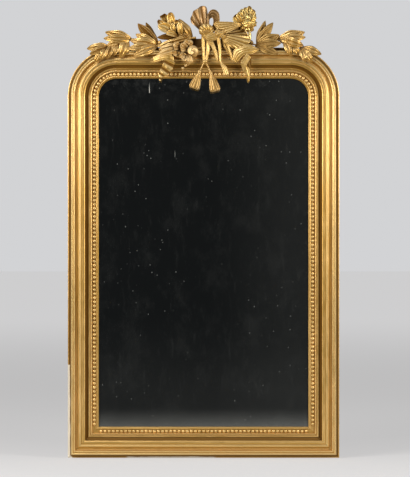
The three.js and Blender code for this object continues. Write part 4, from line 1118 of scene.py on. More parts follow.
@dataclass(frozen=True)
class Petal:
    """A cupped petal whose tip hooks forward; bend bows its middle line sideways, in millimetres."""

    stalk: Flat
    tip: Flat
    wide: float
    depth: Place
    bend: float = 0.0
    hook: float = 0.10
    cup: float = 0.60
    ruffle: float = 0.12
    blunt: float = 0.0
    # Painted shade on the curled tip.
    shaded_tip: float = 0.0

    def carve(self, carving: Carving, top: float, columns: int = 18, rows: int = 12) -> None:
        """Adds the petal to a mesh.

        Args:
            carving: The mesh.
            top: Z of the frame's top in millimetres.
            columns: Faces along the petal.
            rows: Faces across it.
        """
        run = Vector((self.tip[0] - self.stalk[0], 0, self.tip[1] - self.stalk[1]))
        length = run.length
        along = run.normalized()
        side = Vector((-along.z, 0, along.x))

        def place(u: float, v: float) -> Spot:
            """The petal's spot for a place in the sheet.

            Args:
                u: Share of the way from stalk to tip.
                v: Share of the half width, from -1 to 1.

            Returns:
                The point, ridge and hollow.
            """
            outline = (1 - self.blunt) * max(math.sin(math.pi * u ** 1.15), 0.0) ** 0.85
            outline += self.blunt * math.sin(math.pi * (0.08 + 0.78 * u)) ** 0.7
            outline *= 1 + 0.08 * math.sin(9 * u + self.wide + 3 * v)
            half = self.wide / 2 * max(outline, 0.30 * (1 - u) ** 2 + 0.02)
            past = max(0.0, (u - 0.55) / 0.45)
            wave = self.ruffle * half * math.sin(2.5 * math.pi * v + 3 * u) * u
            forward = self.cup * half * v * v + wave + self.hook * length * past ** 2
            forward += 0.10 * half * math.exp(-(v / 0.16) ** 2)
            middle = along * (length * (u - self.hook * 0.9 * past ** 3))
            middle += side * (self.bend * math.sin(math.pi * u))
            point = Vector((self.stalk[0], parabola(self.depth, u) - forward, top + self.stalk[1]))
            ridge = 0.2 + 0.8 * abs(v) ** 4 + 0.4 * past
            # The hollow mark: painted shade at the base between petals, on the curled tip and in the grooves,
            # with real dirt.
            hollow = 0.9 * (1 - u) ** 2 + 0.25 * (1 - abs(v))
            hollow += self.shaded_tip * max(0.0, (u - 0.70) / 0.30) + 0.35 * max(0.0, math.cos(6 * v)) ** 4 * u
            return point + middle + side * (half * v), min(ridge, 1.0), min(hollow, 1.0)

        carving.sheet(columns, rows, place)


@dataclass(frozen=True)
class RibbonStrip:
    """A ribbon through pairs of places across it; each place is X, depth and Z above the frame's top."""

    pairs: tuple[tuple[Place, Place], ...]
    crown: float = 1.6
    lines: int = 2
    rib: float = 0.5
    folds: int = 0
    fold_height: float = 2.2
    shade: float = 0.0

    def carve(self, carving: Carving, top: float, columns: int = 40, rows: int = 8) -> None:
        """Adds the ribbon to a mesh.

        Args:
            carving: The mesh.
            top: Z of the frame's top in millimetres.
            columns: Faces along the ribbon.
            rows: Faces across it.
        """
        lift = Vector((0, 0, top))
        one = Route([Vector(a) + lift for a, _ in self.pairs])
        other = Route([Vector(b) + lift for _, b in self.pairs])

        def place(u: float, v: float) -> Spot:
            """The ribbon's spot for a place in the sheet.

            Args:
                u: Share of the way along it.
                v: Share of the half width, from -1 to 1.

            Returns:
                The point, ridge and hollow.
            """
            a, b = one.at(u), other.at(u)
            way = (one.along(u) + other.along(u)).normalized()
            across = (b - a).normalized()
            face = way.cross(across).normalized()
            if face.y > 0:
                face = -face
            comb = math.cos(math.pi * self.lines * (v + 1))
            rib = self.rib * comb * min(1.0, (b - a).length / 14)
            fold = 0.5 + 0.5 * math.cos(2 * math.pi * self.folds * u) if self.folds else 0.0
            fold = fold * fold * (3 - 2 * fold)
            point = a.lerp(b, (v + 1) / 2) + face * (self.crown * (1 - v * v) + rib + self.fold_height * fold)
            # Grooves and fold valleys get the hollow mark: real dirt and painted shade; shade adds painted
            # shade to a whole strip.
            hollow = self.shade + (0.20 + 0.30 * self.rib) * (0.5 - 0.5 * comb)
            if self.folds:
                hollow = max(hollow * 0.6, 1.1 * (1 - fold) ** 2)
            return point, 0.35 + 0.6 * abs(v) ** 4, min(1.0, hollow)

        carving.sheet(columns, rows, place)


@dataclass(frozen=True)
class PleatedLoop:
    """A loop of ribbon gathered at the knot: near and far edges, depths and pleats."""

    near: tuple[Flat, Flat]
    far: tuple[Flat, ...]
    depth: Place
    near_depth: float
    pleats: int
    pleat: float = 5.0
    arch: float = 7.0
    shade: float = 0.0

    def carve(self, carving: Carving, top: float, columns: int = 64, rows: int = 14) -> None:
        """Adds the loop's sheet to a mesh.

        Args:
            carving: The mesh.
            top: Z of the frame's top in millimetres.
            columns: Faces across the pleats.
            rows: Faces from the knot out.
        """
        far = Route([Vector((x, 0, z + top)) for x, z in self.far])
        a, b = (Vector((x, 0, z + top)) for x, z in self.near)

        def place(u: float, v: float) -> Spot:
            """The loop's spot for a place in the sheet.

            Args:
                u: Share of the way across the pleats.
                v: From -1 at the knot to 1 at the far edge.

            Returns:
                The point, ridge and hollow.
            """
            s = (v + 1) / 2
            wave = 0.5 + 0.5 * math.cos(2 * math.pi * self.pleats * u)
            fine = 0.5 + 0.5 * math.cos(2 * math.pi * self.pleats * 3 * u)
            start, end = a.lerp(b, u), far.at(u)
            level = (1 - s) * self.near_depth + s * parabola(self.depth, u)
            relief = (self.pleat * wave + 0.7 * fine) * (0.25 + 0.75 * s) + self.arch * math.sin(math.pi * s)
            point = start.lerp(end, s)
            point.y = level - relief
            # Pleat valleys and the gathered end at the knot get the hollow mark: real dirt and painted shade;
            # shade adds painted shade to the whole loop.
            hollow = self.shade + 0.75 * (1 - wave) ** 2 + 0.55 * (1 - s) ** 2
            return point, wave * 0.8 * s + 0.2, min(1.0, hollow)

        carving.sheet(columns, rows, place)


# ---------------------------------------------------------------------------- crest
@dataclass
class Spray:
    """A laurel spray: a stem with leaves and a berry or two."""

    name: str
    stem: tuple[Place, ...]
    leaves: tuple[Leaf, ...]
    berries: tuple[tuple[Place, float], ...]
    stem_radius: float = 3.6
    leaf_thickness: float = 2.6

    def build(self, top: float, look: bpy.types.Material) -> None:
        """Makes the leaves and the stem.

        Args:
            top: Z of the frame's top in millimetres.
            look: The gilding.
        """
        leaves = Carving(self.name + "_leaves")
        for leaf in self.leaves:
            leaf.carve(leaves, top)
        leaves.finish(look, [self.name], thickness=self.leaf_thickness, subdivisions=1)
        stem = Carving(self.name + "_stem")
        route = Route([raised(place, top) for place in self.stem])
        stem.tube(route, lambda u, angle: self.stem_radius * (1.15 - 0.5 * u + 0.10 * math.sin(3 * angle)),
                  40, 12)
        for place, radius in self.berries:
            stem.ball(raised(place, top), (radius, radius, radius * 1.15),
                      lambda d: (1 + 0.10 * math.cos(5 * math.atan2(d.z, d.x)) * (1 - d.y * d.y), 0.5, 0.2),
                      20, 12)
        stem.finish(look, [self.name], sharp=60)


STEM = -34.0
ABOVE = (STEM, STEM - 9, STEM - 4)
FORWARD = (STEM, STEM - 17, STEM - 13)
REARWARD = (STEM, STEM + 6, STEM + 9)
HANGING = (STEM, -56.5, -53.0)

SPRAYS = (
    Spray("spray_left_inner",
          ((-26, -40, 33), (-90, -40, 26), (-130, -38, 15), (-166, STEM, 5)),
          (
              Leaf((-160, 6), (-230, 84), 40, REARWARD, 0.2, shade=0.6),
              Leaf((-164, 8), (-202, 88), 26, (STEM, STEM + 9, STEM + 14), -0.3, shade=0.65),
              Leaf((-164, 6), (-237, 46), 34, ABOVE, 0.25),
              Leaf((-164, 6), (-256, 23), 36, FORWARD, 0.1),
              Leaf((-164, 5), (-264, -6), 34, (STEM, -56, -60), -0.15),
              Leaf((-162, 5), (-244, -33), 36, (STEM, -60, -56), -0.2),
              Leaf((-40, 34), (-164, 1), 26, (-42, -52, -44), 0.25),
          ),
          (((-153, -37, 16), 7),)),
    Spray("spray_left_outer",
          ((-158, -30, 2), (-209, STEM, 22), (-262, STEM, 28), (-303, STEM, 17), (-337, STEM - 8, 1),
           (-362, -60, -23)),
          (
              Leaf((-250, 27), (-344, 53), 36, ABOVE, 0.25, shade=0.12),
              Leaf((-252, 27), (-349, 30), 34, FORWARD, -0.2),
              Leaf((-268, 25), (-338, 4), 32, (STEM, -50, -50), 0.1),
              Leaf((-266, 26), (-289, -38), 38, HANGING, 0.15),
              Leaf((-300, 17), (-314, -31), 32, HANGING, -0.2),
              Leaf((-331, 2), (-407, -6), 32, (STEM - 6, -54, -46), 0.2),
              Leaf((-334, 1), (-397, -26), 28, (STEM - 6, -62, -56), -0.2, shade=0.35),
              Leaf((-338, -2), (-359, -47), 24, (STEM - 8, -64, -60), 0.2),
              Leaf((-318, 9), (-338, -43), 28, (STEM - 4, -61, -58), -0.1, shade=0.3),
              Leaf((-360, -20), (-380, -57), 18, (-60, -64, -58), 0.1),
          ),
          (((-309, -44, 6), 9),)),
    Spray("spray_right_inner",
          ((70, -38, 18), (120, -38, 12), (188, STEM, 9)),
          (
              Leaf((186, 9), (216, 94), 26, REARWARD, -0.3, shade=0.15),
              Leaf((186, 9), (243, 86), 34, ABOVE, 0.25),
              Leaf((184, 9), (265, 42), 38, FORWARD, -0.2),
              Leaf((184, 9), (270, 13), 38, (STEM, -58, -54), 0.15),
              Leaf((184, 8), (258, -27), 34, (STEM, -60, -56), 0.2),
          ),
          (((166, -36, 15), 8),)),
    Spray("spray_right_outer",
          ((180, -30, 2), (225, STEM, 20), (272, STEM, 27), (312, STEM, 13), (352, STEM - 10, -8)),
          (
              Leaf((258, 26), (354, 53), 38, ABOVE, -0.25),
              Leaf((262, 26), (356, 34), 36, FORWARD, 0.2),
              Leaf((264, 26), (336, 20), 34, (STEM, -48, -46), -0.1, shade=0.3),
              Leaf((276, 25), (349, 3), 34, (STEM, -60, -52), -0.2),
              Leaf((343, -3), (411, -26), 32, (STEM - 8, -62, -52), 0.2),
              Leaf((283, 23), (305, -33), 26, HANGING, 0.2),
              Leaf((310, 12), (331, -29), 26, HANGING, -0.2),
              Leaf((338, 0), (354, -55), 24, (STEM - 6, -64, -60), 0.2),
              Leaf((352, -8), (377, -57), 24, (STEM - 10, -66, -58), -0.2),
          ),
          (((247, -34, 32), 8),)),
)


@dataclass
class Blossoms:
    """The open blossom on the left, the full head on the right and the rosebuds below."""

    top: float = 1435
    petals: tuple[Petal, ...] = (
        Petal((-112, 56), (-150, 119), 32, (-30, -38, -36), -4, 0.14, blunt=0.9, shaded_tip=1.5),
        Petal((-106, 54), (-165, 96), 25, (-34, -44, -44), 3, 0.10, blunt=0.4, shaded_tip=1.0),
        Petal((-98, 44), (-119, 130), 29, (-38, -50, -46), 3, 0.14, blunt=0.3, shaded_tip=0.4),
        Petal((-92, 40), (-93, 102), 18, (-42, -54, -50), 2, 0.16, blunt=0.6, shaded_tip=1.5),
        Petal((-94, 32), (-166, 76), 36, (-46, -62, -62), -9, 0.10),
        Petal((-98, 38), (-109, 86), 18, (-50, -62, -60), 3, 0.10),
        Petal((-88, 34), (-136, 48), 22, (-50, -64, -60), -5, 0.12),
        Petal((-74, 34), (-85, 90), 22, (-46, -58, -54), 3, 0.10, blunt=0.3),
    )
    sheath: tuple[Leaf, ...] = (
        Leaf((-40, 32), (-87, 98), 30, (-34, -50, -44), -0.2, crown=0.40, vein=0.05),
        Leaf((-98, 36), (-162, 34), 22, (-36, -44, -40), 0.2, shade=0.75),
    )
    calyx: Place = (-68, -40, 40)
    calyx_radii: Place = (25, 15, 15)
    head: Place = (154, -42, 94)
    head_radii: Place = (24, 17, 38)
    rings: tuple[tuple[int, float, float, float], ...] = (
        (10, 1.50, 24, 0.15), (9, 1.15, 22, 0.30), (7, 0.80, 19, 0.42))
    scale_row: float = 0.40
    eye: Place = (153, -62, 80)
    eye_radii: Place = (14, 8, 13)
    stalk: tuple[Place, ...] = ((156, -40, 66), (162, -40, 40), (158, -38, 16))
    stalk_radius: float = 5.0
    crown: tuple[Petal, ...] = (
        Petal((138, 72), (106, 118), 34, (-42, -50, -44), 4, 0.16, shaded_tip=1.0),
        Petal((140, 84), (122, 128), 24, (-40, -52, -46), 4, 0.14, shaded_tip=0.6),
        Petal((150, 98), (161, 147), 22, (-38, -48, -42), -3, 0.10, ruffle=0.3, shaded_tip=0.8),
        Petal((150, 98), (145, 142), 20, (-38, -50, -44), 3, 0.10, ruffle=0.3, shaded_tip=0.5),
        Petal((158, 98), (176, 134), 22, (-38, -50, -44), -3, 0.12, ruffle=0.3, shaded_tip=0.6),
        Petal((146, 98), (131, 136), 20, (-38, -50, -44), 3, 0.12, ruffle=0.3, shaded_tip=0.3),
    )
    buds: tuple[tuple[Place, float], ...] = (
        ((-37, -66, -17), 21), ((-68, -62, 0), 14), ((-70, -62, -30), 13), ((-94, -60, 4), 14),
        ((-112, -60, -14), 12), ((-90, -60, -26), 13), ((-48, -62, 12), 12), ((-62, -64, -66), 5),
        ((-72, -62, -76), 5),
    )
    bud_petals: tuple[Petal, ...] = (
        Petal((-56, -6), (-84, 10), 20, (-60, -76, -74), 3, 0.2),
        Petal((-58, -10), (-82, -16), 18, (-62, -78, -76), -3, 0.2),
        Petal((-64, -22), (-86, -42), 20, (-60, -76, -72), 3, 0.2),
        Petal((-60, -26), (-46, -58), 22, (-62, -78, -74), 3, 0.15),
        Petal((-64, -28), (-66, -56), 17, (-60, -76, -72), -2, 0.2),
        Petal((-78, 0), (-102, 12), 18, (-58, -74, -70), 2, 0.2),
        Petal((-80, -6), (-106, -8), 17, (-58, -74, -70), -2, 0.2),
        Petal((-84, -20), (-110, -26), 18, (-58, -72, -68), 2, 0.2),
        Petal((-50, 2), (-68, 24), 18, (-58, -72, -68), 2, 0.2),
        Petal((-44, 2), (-50, 22), 14, (-58, -70, -66), 2, 0.2),
    )
    bud_leaves: tuple[Leaf, ...] = (
        Leaf((-86, 2), (-156, -10), 30, (-56, -62, -58), 0.2),
        Leaf((-90, -6), (-164, -32), 28, (-58, -72, -62), -0.2),
        Leaf((-40, -32), (-56, -66), 20, (-60, -68, -62), 0.2),
        Leaf((-96, -18), (-172, -50), 20, (-60, -70, -62), 0.2),
    )

    def left(self, look: bpy.types.Material, petal_look: bpy.types.Material) -> None:
        """Makes the blossom of curled petals.

        Args:
            look: The gilding of the calyx and its leaves.
            petal_look: The gilding of the petals.
        """
        petals = Carving("blossom_left_petals")
        for petal in self.petals:
            petal.carve(petals, self.top)
        petals.finish(petal_look, ["blossom_left"], thickness=2.6, subdivisions=1)
        sheath = Carving("blossom_left_sheath")
        for leaf in self.sheath:
            leaf.carve(sheath, self.top)
        sheath.finish(look, ["blossom_left"], thickness=2.6, subdivisions=1)
        calyx = Carving("blossom_left_calyx")
        calyx.ball(raised(self.calyx, self.top), self.calyx_radii,
                   lambda d: (petalled(d, 9, 0.09), 0.4, 0.35 - 0.35 * math.cos(9 * math.atan2(d.z, d.x))),
                   54, 18)
        calyx.finish(look, ["blossom_left"], sharp=60)

    def right(self, look: bpy.types.Material) -> None:
        """Makes the full head: rings of ruffled petals round an eye, on a stalk with a crown of sepals.

        Args:
            look: The gilding.
        """
        head = Carving("blossom_right_petals")
        middle = raised(self.head, self.top)
        for number, (count, polar, size, lift) in enumerate(self.rings):
            for i in range(count):
                angle = 2 * math.pi * (i + 0.5 * (number % 2)) / count + 0.35 * number
                self.ruffled(head, middle, polar, angle, size, lift)
        head.finish(look, ["blossom_right"], thickness=2.2, subdivisions=1)
        core = Carving("blossom_right_core")

        def scales(d: Vector) -> tuple[float, float, float]:
            """The head's rows of lapped scales.

            Args:
                d: Direction from the head's middle.

            Returns:
                Factor on the radius, ridge and hollow.
            """
            rows_out = math.acos(max(-1.0, min(1.0, -d.y))) / self.scale_row
            row = math.floor(rows_out)
            lapped = rows_out - 0.42 * abs(math.cos(2.5 * math.atan2(d.z, d.x) + row * math.pi / 2))
            ramp = lapped - math.floor(lapped)
            return 0.86 + 0.20 * ramp ** 1.4, ramp, 0.75 * max(0.0, 1 - 3.4 * ramp)

        core.ball(middle, tuple(r * 0.98 for r in self.head_radii), scales, 84, 60)
        core.ball(raised(self.eye, self.top), self.eye_radii,
                  lambda d: (petalled(d, 5, 0.14, 5 * d.y), 0.6, 0.3), 48, 24)
        stalk = Route([raised(place, self.top) for place in self.stalk])
        core.tube(stalk, lambda u, angle: self.stalk_radius, 16, 12)
        core.finish(look, ["blossom_right"], sharp=60)
        sepals = Carving("blossom_right_sepals")
        for petal in self.crown:
            petal.carve(sepals, self.top)
        sepals.finish(look, ["blossom_right"], thickness=2.4, subdivisions=1)

    def ruffled(self, carving: Carving, middle: Vector, polar: float, angle: float, size: float,
                lift: float) -> None:
        """Adds one petal of the full head.

        Args:
            carving: The mesh.
            middle: The head's centre in millimetres.
            polar: Angle from the front at which the petal sits.
            angle: Angle round the front.
            size: Its length in millimetres.
            lift: How steeply it stands up from the head.
        """
        out = Vector((math.sin(polar) * math.cos(angle), -math.cos(polar), math.sin(polar) * math.sin(angle)))
        seat = middle + Vector(o * r for o, r in zip(out, self.head_radii)) * 0.86
        away = Vector((math.cos(polar) * math.cos(angle), math.sin(polar), math.cos(polar) * math.sin(angle)))
        side = out.cross(away).normalized()

        def place(u: float, v: float) -> Spot:
            """The petal's spot for a place in the sheet.

            Args:
                u: Share of the way from seat to lip.
                v: Share of the half width, from -1 to 1.

            Returns:
                The point, ridge and hollow.
            """
            half = size * 0.62 * math.sin(math.pi * (0.10 + 0.74 * u)) ** 0.7
            ruffle = size * 0.10 * math.sin(3.5 * math.pi * v + angle * 3) * u * u
            rise = size * (lift * 0.55 * u + 0.28 * v * v * u) + ruffle
            point = seat + away * (size * (u * (1 - 0.25 * lift) - 0.35)) + side * (half * v) + out * rise
            tip = max(0.0, math.sin(angle)) * u ** 3 if lift < 0.35 else 0.0
            return point, 0.15 + 0.85 * u ** 4, min(1.0, 0.8 * (1 - u) ** 2 + 0.9 * tip)

        carving.sheet(10, 10, place)

    def rosebuds(self, look: bpy.types.Material) -> None:
        """Makes the buds, whose petals wrap round in a spiral, and their leaves.

        Args:
            look: The gilding.
        """
        buds = Carving("rosebud_cluster_buds")
        for number, (place, radius) in enumerate(self.buds):

            def swirl(d: Vector, phase: float = number * 1.7,
                      arms: int = 2 + number % 2) -> tuple[float, float, float]:
                """The bud's petals, which wind out from its front.

                Args:
                    d: Direction from the bud's middle.
                    phase: Turn of the spiral in radians.
                    arms: How many petals wind out.

                Returns:
                    Factor on the radius, ridge and hollow.
                """
                front = math.acos(max(-1.0, min(1.0, -d.y)))
                turns = (math.atan2(d.z, d.x) + phase) * arms / (2 * math.pi) + front * 0.9
                ramp = turns - math.floor(turns)
                lip = ramp ** 1.6
                return 0.76 + 0.28 * lip, lip, max(0.0, 1 - ramp * 2.6)

            buds.ball(raised(place, self.top), (radius, radius * 0.9, radius), swirl, 48, 30)
        buds.finish(look, ["rosebud_cluster"], sharp=80)
        leaves = Carving("rosebud_cluster_leaves")
        for shape in self.bud_leaves + self.bud_petals:
            shape.carve(leaves, self.top)
        leaves.finish(look, ["rosebud_cluster"], thickness=2.6, subdivisions=1)


@dataclass
class Ribbons:
    """The ribbon bow with its loops, strands, rosette and tails, and the two tassels."""

    top: float = 1435
    reed: float = -54.0
    thickness: float = 2.6
    knot: Place = (55, -69, 43)
    knot_turns: tuple[Place, ...] = ((0, 0, 15), (12, -8, 11), (-7, 9, 10), (13, 7, 9))
    rosette: Place = (7, -62, 50)
    rosette_radii: Place = (22, 13, 14)
    tassel_depth: float = -60
    tassel_profile: tuple[Flat, ...] = (
        (0.0, 3.0), (0.03, 5.4), (0.08, 6.4), (0.13, 5.0), (0.17, 5.4), (0.24, 8.4), (0.40, 11.8),
        (0.60, 15.0), (0.78, 17.4), (0.90, 18.0), (0.96, 16.4), (1.0, 11.5))
    flutes: int = 11
    skirt: float = 0.20
    cord_radius: float = 2.5
    cord_end: float = 0.08

    def loops(self, look: bpy.types.Material, shadowed: bpy.types.Material) -> None:
        """Makes the two upright loops and the pleated loop at the side.

        Args:
            look: The gilding.
            shadowed: Darker gilding of the upright loops.
        """
        upper = Carving("ribbon_loops_upper_sheets")
        PleatedLoop(((-14, 58), (12, 60)),
                    ((-43, 84), (-46, 100), (-40, 112), (-36, 125), (-22, 133), (-9, 143), (8, 141),
                     (13, 122), (15, 100)), (-40, -46, -34), -44, 4).carve(upper, self.top, 56, 12)
        RibbonStrip((
            ((16, -50, 58), (22, -40, 62)), ((12, -54, 88), (19, -40, 84)), ((14, -56, 112), (21, -42, 97)),
            ((24, -58, 127), (28, -44, 102)), ((38, -58, 130), (32, -46, 100)),
            ((51, -56, 122), (34, -46, 94)),
            ((56, -54, 106), (34, -44, 86)), ((55, -52, 86), (33, -44, 78)), ((42, -50, 64), (27, -46, 66)),
        ), lines=3, rib=1.2).carve(upper, self.top, 56, 12)
        # A dark under-fold strip beside the knot, darkened with painted shade to fill the shadow there.
        RibbonStrip((
            ((22, -48, 62), (34, -48, 80)), ((36, -50, 52), (48, -50, 74)), ((50, -54, 46), (64, -54, 64)),
        ), shade=0.6).carve(upper, self.top, 24, 8)
        upper.finish(shadowed, ["ribbon_loops_upper"], thickness=self.thickness, subdivisions=1)
        side = Carving("ribbon_loop_side_sheets")
        RibbonStrip((
            ((33, -56, 80), (44, -60, 64)), ((47, -60, 87), (66, -66, 44)), ((70, -62, 87), (86, -68, 48)),
            ((95, -62, 86), (106, -66, 59)), ((118, -58, 83), (124, -62, 69)),
            ((131, -50, 81), (134, -54, 75)),
        ), crown=2.4, lines=5, rib=1.3).carve(side, self.top, 40, 30)
        PleatedLoop(((62, 52), (66, 34)), ((128, 82), (140, 66), (152, 44), (160, 26)),
                    (-34, -32, -36), -50, 5, pleat=2.4, arch=-4, shade=0.35).carve(side, self.top, 48, 14)
        PleatedLoop(((58, 44), (64, 22)),
                    ((157, 36), (163, 18), (154, 6), (144, -1), (132, -4), (120, -6), (108, -7), (96, -5),
                     (82, 6)), (-58, -62, -56), -62, 6, pleat=3.2, arch=9).carve(side, self.top, 64, 16)
        side.finish(look, ["ribbon_loop_side"], thickness=self.thickness, subdivisions=1)
        lip = Carving("ribbon_loop_side_lip")
        edge = Route([raised(place, self.top) for place in (
            (131, -52, 82), (143, -50, 66), (152, -52, 46), (159, -58, 30), (163, -58, 18))])
        lip.tube(edge, lambda u, angle: 2.4 * (1 - 0.3 * u), 32, 10)
        lip.finish(look, ["ribbon_loop_side"], sharp=60)

    def tails(self, look: bpy.types.Material) -> None:
        """Makes the folded tails on both sides.

        Args:
            look: The gilding.
        """
        tails = {
            "ribbon_tail_left": (
                RibbonStrip((
                    ((-176, -60, -36), (-173, -60, -56)), ((-150, -68, -27), (-150, -68, -50)),
                    ((-122, -73, -24), (-123, -73, -47)), ((-104, -68, -34), (-102, -68, -54))), lines=3),
                RibbonStrip((
                    ((-130, -71, -42), (-99, -69, -54)), ((-142, -66, -62), (-110, -66, -82)),
                    ((-152, -62, -82), (-130, -62, -99)), ((-157, -60, -100), (-143, -60, -107)),
                    ((-154, -56, -116), (-148, -56, -118))), folds=4, fold_height=5.0)),
            "ribbon_tail_right": (
                RibbonStrip((
                    ((114, -62, -57), (99, -60, -50)), ((128, -68, -43), (106, -64, -12)),
                    ((142, -71, -30), (126, -67, -3)), ((158, -70, -28), (150, -66, 7)),
                    ((173, -67, -24), (168, -64, 5)), ((191, -60, -14), (192, -60, -9))),
                    crown=2.6, lines=4, rib=1.3),
                RibbonStrip((
                    ((150, -74, -24), (166, -70, -38)), ((130, -72, -54), (150, -68, -66)),
                    ((133, -66, -72), (159, -62, -76)), ((140, -61, -87), (161, -60, -92)),
                    ((150, -58, -102), (162, -58, -103)), ((155, -54, -122), (159, -54, -121)))),
                RibbonStrip((
                    ((146, -66, -66), (165, -66, -40)), ((154, -58, -78), (166, -58, -56)),
                    ((158, -54, -86), (163, -54, -72))), shade=0.55)),
        }
        for name, strips in tails.items():
            tail = Carving(name + "_sheet")
            for strip in strips:
                strip.carve(tail, self.top, 80, 10)
            tail.finish(look, [name], thickness=self.thickness, subdivisions=1)

    def strands(self, look: bpy.types.Material) -> None:
        """Makes the upright strands, the crossing bands, the knot and the rosette.

        Args:
            look: The gilding.
        """
        strips = Carving("ribbon_strands_sheets")
        reed = self.reed
        for pairs in (
            (((-8, -60, 46), (5, -61, 46)), ((-6, reed - 3, -10), (5, reed - 3.6, -10)),
             ((-2, reed - 3, -54), (6, reed - 3.6, -54))),
            (((9, -61, 48), (23, -60, 46)), ((9, reed - 3.6, -10), (22, reed - 3, -10)),
             ((3, reed - 3.6, -54), (12, reed - 3, -54))),
            (((42, -66, 38), (56, -66, 38)), ((49, -68, 6), (61, -68, 6)), ((53, -68, -26), (62, -68, -25)),
             ((55, -67, -53), (62, -67, -51)), ((64, -64, -76), (80, -64, -70)),
             ((73, -60, -102), (90, -60, -95))),
            (((52, -66, 34), (62, -64, 40)), ((69, -67, 21), (79, -67, 25)), ((80, -68, 0), (89, -68, 3)),
             ((88, -66, -25), (97, -66, -22)), ((97, -64, -50), (105, -64, -47))),
            (((-2, -62, 32), (8, -62, 44)), ((26, -64, 0), (36, -64, 12)), ((46, -62, -52), (56, -62, -46))),
            (((-10, -66, 46), (4, -68, 58)), ((4, -68, 30), (16, -70, 46)), ((20, -69, 20), (30, -71, 40)),
             ((44, -67, 22), (48, -68, 42))),
            (((16, -68, 40), (26, -70, 54)), ((32, -69, 30), (38, -71, 48)), ((50, -68, 28), (52, -70, 50))),
            (((60, -58, 32), (84, -58, 26)), ((68, -59, 4), (94, -59, -4)),
             ((84, -58, -24), (102, -58, -28))),
        ):
            RibbonStrip(pairs, lines=3, rib=0.9).carve(strips, self.top, 32, 14)
        strips.finish(look, ["ribbon_strands"], thickness=3.0, subdivisions=1)
        knots = Carving("ribbon_strands_knots")
        x, y, z = self.knot
        for dx, dz, size in self.knot_turns:
            knots.ball(raised((x + dx, y, z + dz), self.top), (size, size * 0.75, size * 0.8),
                       lambda d: (petalled(d, 4, 0.14, 2 * d.y), 0.5, 0.1), 40, 18)
        knots.ball(Vector((5, reed - 5, self.top - 52)), (9, 8, 7), lambda d: (1.0, 0.5, 0.2), 24, 12)
        knots.finish(look, ["ribbon_strands"], sharp=60)
        rosette = Carving("ribbon_rosette_puff")
        PleatedLoop(((8, 48), (24, 46)),
                    ((-10, 44), (-16, 52), (-15, 64), (-9, 73), (2, 79), (16, 78), (27, 73), (34, 64),
                     (36, 54), (32, 46)),
                    (-58, -66, -58), -62, 7, pleat=3.6, arch=8).carve(rosette, self.top, 84, 12)
        rosette.finish(look, ["ribbon_rosette"], thickness=self.thickness, subdivisions=1)
        core = Carving("ribbon_rosette_core")
        core.ball(raised(self.rosette, self.top), self.rosette_radii,
                  lambda d: (petalled(d, 9, 0.06), 0.4, 0.5), 54, 20)
        core.finish(look, ["ribbon_rosette"], sharp=70)

    def tassels(self, look: bpy.types.Material) -> None:
        """Makes the two tassels with their cords.

        Args:
            look: The gilding.
        """
        for side, head, foot, hook in (
            (Side.LEFT, (-12, -82), (-35, -146), (1, -61, -55)),
            (Side.RIGHT, (24, -86), (42, -156), (9, -61, -55)),
        ):
            self.tassel(side, head, foot, hook, look)

    def tassel(self, side: Side, head: Flat, foot: Flat, hook: Place, look: bpy.types.Material) -> None:
        """One tassel: knob, waist and fluted skirt on a twisted cord.

        Args:
            side: Which tassel.
            head: X and Z of its knob above the frame's top.
            foot: X and Z of the middle of its hem.
            hook: Where its cord starts.
            look: The gilding.
        """
        def fluted(u: float) -> float:
            """How deep the flutes are at share u of the way down."""
            return max(0.0, min(1.0, (u - self.skirt) / 0.2))

        def strand(angle: float) -> float:
            """How near an angle is to the middle of a thread."""
            return abs(math.cos(self.flutes * angle / 2))

        def radius(u: float, angle: float) -> float:
            """The tassel's radius.

            Args:
                u: Share of the way down.
                angle: Angle round it.

            Returns:
                The radius in millimetres.
            """
            for (u0, r0), (u1, r1) in zip(self.tassel_profile, self.tassel_profile[1:]):
                if u <= u1:
                    base = r0 + (r1 - r0) * (u - u0) / (u1 - u0)
                    break
            return base * (0.93 + 0.11 * (fluted(u) * strand(angle)))

        def groove(u: float, angle: float) -> float:
            """The darkening between the threads: real dirt and painted shade."""
            return fluted(u) * (1 - strand(angle)) ** 1.2

        carving = Carving(f"tassel_{side.label}_gilt")
        body = Route([raised((x, self.tassel_depth, z), self.top) for x, z in (head, foot)])
        carving.tube(body, radius, 44, 110, flatten=0.6, dirt_and_shade=groove)
        start, end = raised(hook, self.top), body.at(self.cord_end)
        cord = Route([start, start.lerp(end, 0.5), end])
        carving.tube(cord, lambda u, angle: self.cord_radius * (1 + 0.16 * math.cos(2 * angle + 30 * u)),
                     48, 14)
        carving.finish(look, [f"tassel_{side.label}"], sharp=60)

    def build(self, look: bpy.types.Material, shadowed: bpy.types.Material, cord: bpy.types.Material) -> None:
        """Makes the whole bow.

        Args:
            look: The gilding of the ribbon.
            shadowed: Darker gilding of the upright loops.
            cord: The gilding of the tassels.
        """
        self.loops(look, shadowed)
        self.tails(look)
        self.strands(look)
        self.tassels(cord)


